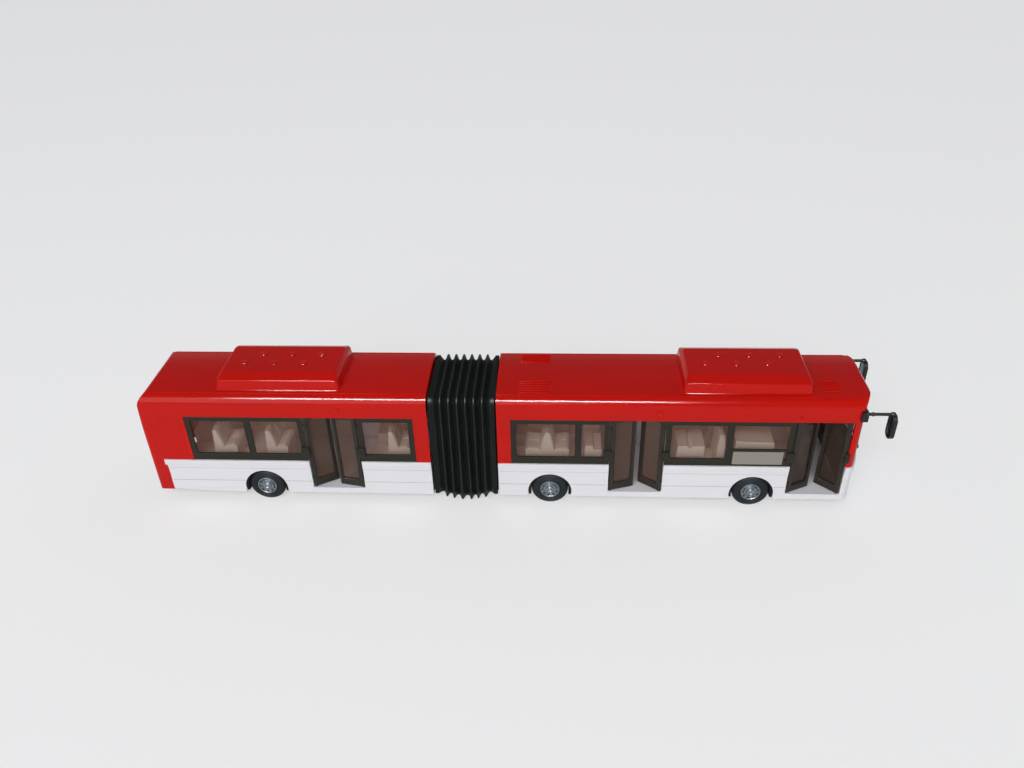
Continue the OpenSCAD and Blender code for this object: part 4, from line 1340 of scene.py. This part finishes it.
    def build(self) -> None:
        """Builds the front end."""
        self.bezel()
        self.wipers()
        self.lamps()
        self.apron()


@dataclass
class Mirrors:
    """Glass, rim, knuckle and clamp of the two long mirrors."""
    half: float = 3.4
    rise: float = 3.6

    def outline(self, inset: float) -> list[Pair]:
        """Draws the mirror's long round outline about its centre.

        Args:
            inset: how far it is drawn in.

        Returns:
            Its points.
        """
        r = self.half - inset
        points = []
        for k, centre in enumerate((self.rise, -self.rise)):
            for i in range(13):
                a = math.radians(15 * i + 180 * k)
                points.append((r * math.cos(a), centre + r * math.sin(a)))
        return points

    def build(self) -> None:
        """Builds both mirrors' parts."""
        low, high = box("mirrors")
        y = high.y - self.half
        z = low.z + self.half + self.rise
        back = high.x - 2

        def place(at: Sequence[float], out: float) -> Triple:
            """Places (across, up) on the mirror's back."""
            return back - out, y + at[0], z + at[1]

        def crown(inset: float, out: float) -> Ring:
            """The outline on the mirror's front, drawn in by inset."""
            return [(high.x - 0.25 + out, y + u, z + v) for u, v in self.outline(inset)]

        rims, glass = Form(), Form()
        rims.rim(self.outline(0), self.outline(0.6), place, 0.2, 0.28)
        rims.loft([crown(0.35, -0.1), crown(0.7, 0.14), crown(1.6, 0.25)])
        arm_z = high.z - 0.8
        rims.lathe([(0, -0.9), (1.05, -0.9), (1.2, -0.6), (1.2, 0.6), (1.05, 0.9), (0, 0.9)],
                     (back + 0.2, y + 0.2, arm_z), "X", 24)
        for at in (BUS.nose - 5.2, BUS.nose - 2.4):
            rims.lathe([(0, -0.4), (1.0, -0.4), (1.08, -0.25), (1.08, 0.25), (1.0, 0.4), (0, 0.4)],
                         (at, BUS.half_w + 0.9, arm_z), "X", 24)
        levels = ((0.62, -0.1), (0.62, 0.03), (0.8, 0.07))
        glass.loft([[place(at, out) for at in self.outline(inset)] for inset, out in levels])
        rims.twin().piece("mirror_rims", "front_car", Finish.TRIM)
        glass.twin().piece("mirror_glasses", "front_car", Finish.MIRROR)


# ---------------------------------------------------------------- tail

@dataclass
class Tail:
    """Side ribs, screen seal, lamp clusters, engine hatch, plate and top lamp of the rear end."""
    rib_r: float = 0.2
    rib_pitch: float = 1.25
    rib_z: Pair = (30.5, 55.4)
    rib_x: Pair = (3.0, 22.4)
    lamp_y: Pair = (16.8, 19.2)
    lamp_z: Pair = (13.0, 27.6)

    def ribs(self) -> None:
        """Builds the fine ribs on the solid quarters behind the windows."""
        form = Form()
        count = int((self.rib_z[1] - self.rib_z[0]) / self.rib_pitch)
        for k in range(count + 1):
            z = self.rib_z[0] + k * self.rib_pitch
            form.rib((sta(self.rib_x[0]), BUS.half_w - 0.07, z), (sta(self.rib_x[1]), BUS.half_w - 0.07, z),
                     self.rib_r, 6)
        form.twin().piece("tail_quarter_ribs", "rear_car", Finish.RED)

    def screen(self) -> None:
        """Builds the seal round the tail screen and the lamp above it."""
        form, lamp = Form(), Form()
        low, high = box("rear_screen")
        outer = rounded(low.y - 0.35, high.y + 0.35, low.z - 0.35, high.z + 0.35, 1.0, 5, 4.0)
        form.rim(outer, shrunk(outer, 1.3), BUS.on_tail, 0.35, 0.18)
        form.piece("tail_screen_seal", "rear_car", Finish.TRIM)
        plate(lamp, rounded(-4.5, 4.5, high.z + 2.0, high.z + 3.4, 0.6), BUS.on_tail, 0.4, 0.3, 0.25)
        lamp.piece("tail_top_lamp", "rear_car", Finish.RED_LENS)

    def lamps(self) -> None:
        """Builds the three-lens clusters and their dark bezels."""
        bezel = Form()
        y, z = self.lamp_y, self.lamp_z
        outer = rounded(y[0] - 0.3, y[1] + 0.3, z[0] - 0.3, z[1] + 0.3, 0.6)
        bezel.rim(outer, shrunk(outer, 0.62), BUS.on_tail, 0.9, 0.16)
        plate(bezel, rounded(y[0], y[1], z[0], z[1], 0.3), BUS.on_tail, -0.75, 0.2, 0.05)
        bezel.twin().piece("tail_lamp_bezels", "rear_car", Finish.TRIM, ["tail_lamps"])
        bay = (z[1] - z[0]) / 3
        for k, (name, finish) in enumerate((("reverse", Finish.CLEAR), ("indicator", Finish.AMBER_LENS),
                                            ("brake", Finish.RED_LENS))):
            lens = Form()
            spot = rounded(y[0] + 0.35, y[1] - 0.35, z[0] + k * bay + 0.35, z[0] + (k + 1) * bay - 0.25, 0.5)
            plate(lens, spot, BUS.on_tail, 0.1, 0.85, 0.4)
            lens.twin().piece(f"tail_{name}_lenses", "rear_car", finish)

    def hatch(self) -> None:
        """Builds the engine hatch's lip, a strip above it and a blank plate."""
        form, blank = Form(), Form()
        low, high = box("engine_grille")
        outer = rounded(low.y - 1.2, high.y + 1.2, low.z - 1.2, high.z + 1.2, 1.2, 5, 4.0)
        form.rim(outer, shrunk(outer, 0.7), BUS.on_tail, 0.2, 0.16)
        plate(form, rounded(-16.0, 16.0, high.z + 2.4, high.z + 3.4, 0.4), BUS.on_tail, 0.3, 0.2, 0.2)
        form.piece("tail_hatch_lip", "rear_car", Finish.RED)
        plate(blank, rounded(-5.6, 5.6, low.z - 4.3, low.z - 1.6, 0.4), BUS.on_tail, 0.25, 0.2, 0.15)
        blank.piece("tail_blank_plate", "rear_car", Finish.PLATE)

    def build(self) -> None:
        """Builds the rear end."""
        self.ribs()
        self.screen()
        self.lamps()
        self.hatch()


# ---------------------------------------------------------------- cab and seats

@dataclass
class Cab:
    """Instrument hood, column and dials at the driver's place."""
    dial_r: float = 1.15

    def build(self) -> None:
        """Builds the instruments."""
        low, high = box("steering_wheel")
        mid = (low.y + high.y) / 2
        top = box("dashboard")[1].z
        hood, dials = Form(), Form()
        hood.loft([[(BUS.nose - 12.6 + lean, mid + u, top - 0.3 + rise + v) for u, v in
                    rounded(-5.2, 5.2, 0, 2.4, 1.1)] for lean, rise in ((0, 0), (1.4, 0.9), (4.2, 0.4))])
        hood.lathe([(0, -4.5), (1.5, -4.5), (1.2, -1.0), (0.9, 0), (0, 0)],
                   (BUS.nose - 15.2, mid, low.z + 2.0), "Z", 24)
        hood.piece("dash_hood", "front_car", Finish.DASH)
        for k in (-1, 0, 1):
            dials.lathe([(0, -0.1), (self.dial_r, -0.1), (self.dial_r, 0.16), (self.dial_r - 0.14, 0.24),
                         (self.dial_r - 0.24, 0.12), (0.2, 0.1), (0.16, 0.2), (0, 0.22)],
                        (BUS.nose - 11.2 + 0.2 * abs(k), mid + k * 3.0, top + 2.7), "Z", 24)
        dials.piece("dash_dials", "front_car", Finish.BOARD)


@dataclass
class Benches:
    """Raised back and cushion pads on the moulded benches, with a grip on each back."""
    tray: float = 23.3
    rows: Pair = (5.0, 20.3)
    heel: Pair = (3.6, 10.6)
    lean: float = 1.0
    knee: float = 11.5
    seats: tuple[tuple[str, float, float, int, float], ...] = (
        ("rear", 36.9, 21, 1, 10), ("rear", 65.2, 21, 1, 9), ("rear", 130.6, 21, 1, 9),
        ("front", 212.6, 21.4, 1, 11), ("front", 212.6, 21.4, -1, 11), ("front", 302.0, 21, 1, 5))

    def bench(self, form: Form, x: float, height: float, way: int, depth: float) -> None:
        """Adds the pads and the grip of one bench.

        Args:
            form: the form that they become part of.
            x: the bench's station.
            height: how high its back stands on the tray.
            way: 1 if it faces forward, -1 if it faces back.
            depth: how far its cushion reaches.
        """
        foot, head = Vector(self.heel), Vector((self.lean, height))
        along = (head - foot).normalized()
        front = Vector((depth - 0.6, self.knee))
        ahead = (front - foot).normalized()

        def back(at: Sequence[float], out: float) -> Triple:
            """Places (y, distance up the back) on the back."""
            spot = foot + along * at[1] + Vector((along.y, -along.x)) * out
            return sta(x) + way * spot.x, at[0], self.tray + spot.y

        def cushion(at: Sequence[float], out: float) -> Triple:
            """Places (y, distance ahead) on the cushion."""
            spot = foot + ahead * at[1] + Vector((-ahead.y, ahead.x)) * out
            return sta(x) + way * spot.x, at[0], self.tray + spot.y

        middle = sum(self.rows) / 2
        for y in ((self.rows[0] + 0.6, middle - 0.3), (middle + 0.3, self.rows[1] - 0.6)):
            plate(form, rounded(*y, 0.9, (head - foot).length - 0.8, 1.1), back, 0.4, 0.2, 0.35)
            if depth > 6:
                plate(form, rounded(*y, 0.7, (front - foot).length - 0.3, 1.0), cushion, 0.35, 0.2, 0.3)
        grip_x, grip_z = sta(x), self.tray + height
        form.tube([(grip_x, self.rows[0] + d, grip_z + h) for d, h in
                   ((0.5, 0.0), (0.55, 0.9), (0.9, 1.35), (3.6, 1.35), (3.95, 0.9), (4.0, 0.0))], 0.3)

    def build(self) -> None:
        """Builds the pads of both cars."""
        for car in ("rear", "front"):
            form = Form()
            for _, x, height, way, depth in (s for s in self.seats if s[0] == car):
                self.bench(form, x, height, way, depth)
            form.twin().piece(f"{car}_bench_pads", f"{car}_car", Finish.CREAM)


# ---------------------------------------------------------------- underside

@dataclass
class Underside:
    """Screws, stiffening ribs and a raised panel under both base plates."""
    plate_z: float = 4.8
    spots: tuple[tuple[str, tuple[Pair, ...], Pair], ...] = (
        ("rear", ((46, 13), (46, -13), (84, 14), (84, -14), (140, 15), (140, -15)), (78, 144)),
        ("front", ((196, 15), (196, -15), (240, 14), (240, -14), (290, 14), (290, -14), (352, 14),
                   (352, -14)), (232, 300)))

    def collar(self, form: Form, x: float, y: float) -> None:
        """Adds the collar round a screw.

        Args:
            form: the form that it becomes part of.
            x, y: the screw's station and its distance from the middle plane.
        """
        centre = (sta(x), y, self.plate_z)
        form.lathe([(0, 0.3), (2.2, 0.3), (2.2, -0.25), (1.95, -0.45), (1.5, -0.45), (1.45, 0.2), (0, 0.2)],
                   centre, "Z", 28)

    def head(self, form: Form, x: float, y: float) -> None:
        """Adds a screw's pan head with four pads that leave a cross between them.

        Args:
            form: the form that it becomes part of.
            x, y: the screw's station and its distance from the middle plane.
        """
        for su in (-1, 1):
            for sv in (-1, 1):
                form.block((sta(x) + su * 0.18, y + sv * 0.18, self.plate_z - 0.05),
                           (sta(x) + su * 0.85, y + sv * 0.85, self.plate_z - 0.42), 0.2, "Z")
        form.lathe([(0, 0.2), (1.25, 0.2), (1.25, -0.12), (1.0, -0.26), (0, -0.26)],
                   (sta(x), y, self.plate_z), "Z", 24)

    def build(self) -> None:
        """Builds both undersides."""
        for car, places, (start, end) in self.spots:
            collars, heads = Form(), Form()
            for x, y in places:
                self.collar(collars, x, y)
                self.head(heads, x, y)
            for y in (-9, -3, 3, 9):
                collars.rib((sta(start), y, self.plate_z + 0.05), (sta(end), y, self.plate_z + 0.05), 0.5)
            collars.block((sta(start + 12), -7.5, self.plate_z + 0.2),
                          (sta(start + 34), 7.5, self.plate_z - 1.3), 1.2, "Z", 0.4)
            collars.rib((sta(start + 38), 17.5, self.plate_z - 0.1),
                        (sta(end - 2), 17.5, self.plate_z - 0.1), 1.1, 12)
            collars.piece(f"{car}_base_fittings", f"{car}_car", Finish.BLACK_BASE)
            heads.piece(f"{car}_base_screws", f"{car}_car", Finish.STEEL)


# ---------------------------------------------------------------- dressing the frame's own nodes

@dataclass
class Dressing:
    """Finishes and softened edges of the CAD nodes that stay, with the angles in degrees."""
    weld: float = 0.01
    flat: float = 0.6
    sharp: float = 32
    plan: tuple[tuple[tuple[str, ...], Finish, float], ...] = (
        (("rear_shell", "front_shell"), Finish.RED, 0.3),
        (("rear_skirt", "front_skirt"), Finish.WHITE, 0.15),
        (("rear_chassis", "front_chassis"), Finish.BLACK_BASE, 0.15),
        (("rear_seats", "front_seats"), Finish.CREAM, 0.5),
        (("rear_window_frames", "front_window_frames", "windscreen_frame"), Finish.FRAME, 0.12),
        (("rear_window_glass", "front_window_glass", "windscreen", "rear_screen"), Finish.SMOKE, 0.0),
        (("route_board",), Finish.BOARD, 0.1),
        (("mirrors",), Finish.TRIM, 0.35),
        (("steering_wheel", "engine_grille", "destination_panel"), Finish.TRIM, 0.1),
        (("rear_bellows_ring", "front_bellows_ring"), Finish.RING, 0.25),
        (("dashboard",), Finish.DASH, 0.3),
        (("headlamps",), Finish.CLEAR, 0.0),
        (("tail_lamps",), Finish.RED_LENS, 0.0),
        (("pivot_pin", "rear_axle_rod", "middle_axle_rod", "front_axle_rod"), Finish.STEEL, 0.1),
        (("rear_hubs", "middle_hubs", "front_hubs"), Finish.HUB, 0.0),
        (("rear_tyres", "middle_tyres", "front_tyres"), Finish.TYRE, 0.0),
        (("rear_roof_unit", "front_roof_unit"), Finish.RED, 0.0),
        (("bellows",), Finish.BELLOWS, 0.0))

    def dress(self, node: str, finish: Finish, edge: float) -> None:
        """Gives a node its finish, and rounds its edges.

        Args:
            node: the node's name.
            finish: what it is made of.
            edge: radius of its rounded edges, in millimetres; 0 leaves them sharp.
        """
        item = NODES[node]
        item.data.materials.clear()
        item.data.materials.append(finish.material)
        for face in item.data.polygons:
            face.use_smooth = True
        weld = item.modifiers.new("weld", "WELD")
        weld.merge_threshold = self.weld * MM
        flat = item.modifiers.new("flat", "DECIMATE")
        flat.decimate_type = "DISSOLVE"
        flat.angle_limit = math.radians(self.flat)
        if edge:
            bevel = item.modifiers.new("edges", "BEVEL")
            bevel.width = edge * MM
            bevel.segments = 2
            bevel.limit_method = "ANGLE"
            bevel.angle_limit = math.radians(self.sharp)
        normals = item.modifiers.new("normals", "WEIGHTED_NORMAL")
        normals.keep_sharp = False
        LOG.info("node %s dressed in %s", node, finish.name)

    def build(self) -> None:
        """Dresses every node."""
        for nodes, finish, edge in self.plan:
            for node in nodes:
                self.dress(node, finish, edge)
        for node in NODES:
            if node.endswith("_leaf"):
                self.dress(node, Finish.DOOR, 0.15)
            elif node.endswith("_pane"):
                # Front door panes take the darkened tint, painted shade for the dark interior behind.
                self.dress(node, Finish.DARK_SMOKE if "front" in node else Finish.DOOR_SMOKE, 0.0)


# ---------------------------------------------------------------- studio

@dataclass
class Studio:
    """Pale floor, soft lamps, even surround and the camera."""
    eye: Triple = (26.3, -377.8, 311.8)
    pitch: float = -33.45
    roll: float = 1.63
    yaw: float = 3.71
    lens: float = 30.33
    reach: float = 6.0
    paper: Colour = srgb(241, 241, 242)
    veil: float = 0.5
    horizon: Colour = (0.8, 0.81, 0.83)
    zenith: Colour = (0.2, 0.21, 0.225)

    def camera(self) -> None:
        """Places the camera."""
        data = bpy.data.cameras.new("camera")
        data.lens, data.sensor_width = self.lens, 36.0
        data.clip_start, data.clip_end = 0.01, 20
        cam = bpy.data.objects.new("camera", data)
        bpy.context.scene.collection.objects.link(cam)
        turn = (Matrix.Rotation(math.radians(self.yaw), 4, "Z")
                @ Matrix.Rotation(math.radians(self.pitch), 4, "X")
                @ Matrix.Rotation(math.radians(self.roll), 4, "Y")
                @ Matrix.Rotation(math.radians(90), 4, "X"))
        cam.matrix_world = Matrix.Translation(Vector(self.eye) * MM) @ turn
        bpy.context.scene.camera = cam

    def floor(self) -> None:
        """Lays the paper floor, half veiled in white where it is seen, so that its shadows stay."""
        graph = Graph("studio_paper")
        graph.fix(Base_Color=self.paper, Roughness=0.9, Specular_IOR_Level=0.1)
        rays = [graph.add("ShaderNodeLightPath", output=f"Is {kind} Ray")
                for kind in ("Camera", "Glossy", "Transmission")]
        white = graph.add("ShaderNodeEmission", None, {"Strength": 1.0})
        factor = sum(rays) * self.veil
        paper = Sock(graph, graph.shader.outputs[0])
        seen = graph.add("ShaderNodeMixShader", None, {0: factor, 1: paper, 2: white})
        graph.tree.links.new(seen.socket, graph.tree.nodes["Material Output"].inputs["Surface"])
        mesh = bpy.data.meshes.new("studio_floor")
        r = self.reach
        mesh.from_pydata([(-r, -r, 0), (r, -r, 0), (r, r, 0), (-r, r, 0)], [], [(0, 1, 2, 3)])
        floor = bpy.data.objects.new("studio_floor", mesh)
        bpy.context.scene.collection.objects.link(floor)
        mesh.materials.append(graph.material)

    def lamp(self, name: str, kind: str, place: Triple, aim: Triple, power: float,
             size: Pair = (1.0, 1.0), spread: float = 0.0, gleam: Optional[bool] = None) -> None:
        """Adds one soft lamp.

        Args:
            name: the lamp's name.
            kind: "AREA" or "SUN".
            place: where it hangs, in metres.
            aim: the point it faces.
            power: its power in watts, or a sun's strength.
            size: an area lamp's width and height.
            spread: a sun's width in degrees.
            gleam: true if it only shows as a gleam, false if it only lights, None for both.
        """
        data = bpy.data.lights.new(name, kind)
        data.energy = power
        if kind == "AREA":
            data.shape = "RECTANGLE"
            data.size, data.size_y = size
        else:
            data.angle = math.radians(spread)
        item = bpy.data.objects.new(name, data)
        bpy.context.scene.collection.objects.link(item)
        item.location = place
        item.visible_diffuse = gleam is not True
        item.visible_glossy = gleam is not False
        item.rotation_mode = "QUATERNION"
        item.rotation_quaternion = (Vector(aim) - Vector(place)).to_track_quat("-Z", "Y")

    def surround(self) -> None:
        """Sets a surround that is pale near the horizon and calmer overhead."""
        world = bpy.context.scene.world = bpy.data.worlds.new("surround")
        graph = Graph("surround", world)
        height = graph.add("ShaderNodeSeparateXYZ", None, {0: graph.place}, "Z")
        stops = {"stops": ((0.08, self.horizon), (0.4, self.zenith))}
        graph.feed("Color", graph.add("ShaderNodeValToRGB", stops, {0: height}))

    def build(self) -> None:
        """Builds the whole studio."""
        self.camera()
        self.floor()
        self.surround()
        self.lamp("strip", "AREA", (-0.2, -1.05, 1.12), (-0.02, 0, 0.05), 7, (1.0, 0.06))
        self.lamp("gleam", "AREA", (-0.2, -1.0, 1.3), (-0.02, 0, 0.05), 70, (1.0, 0.25), gleam=True)
        self.lamp("front", "SUN", (-0.35, -1.0, 0.6), (0, 0, 0), 1.05, spread=40)
        self.lamp("back", "SUN", (0.5, 1.0, 0.45), (0, 0, 0), 0.5, spread=90, gleam=False)
        bpy.context.scene.view_settings.view_transform = "Standard"


def main() -> None:
    """Dresses the frame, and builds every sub-assembly and the studio."""
    logging.basicConfig(level=logging.INFO, format="%(name)s: %(message)s")
    parts = [Dressing(), RoofTrim(), SkirtShadeBeads(), RoofUnit("rear"), RoofUnit("front", 1.5), Bellows(),
             Windows(), Nose(), Mirrors(), Tail(), Cab(), Benches(), Underside()]
    parts += [kind(axle) for axle in ("rear", "middle", "front") for kind in (Arches, Wheels)]
    parts += [DoorLeaf(door, side) for door in ("rear", "middle", "front") for side in ("aft", "fore")]
    for part in parts:
        part.build()
    Studio().build()


if __name__ == "__main__":
    main()
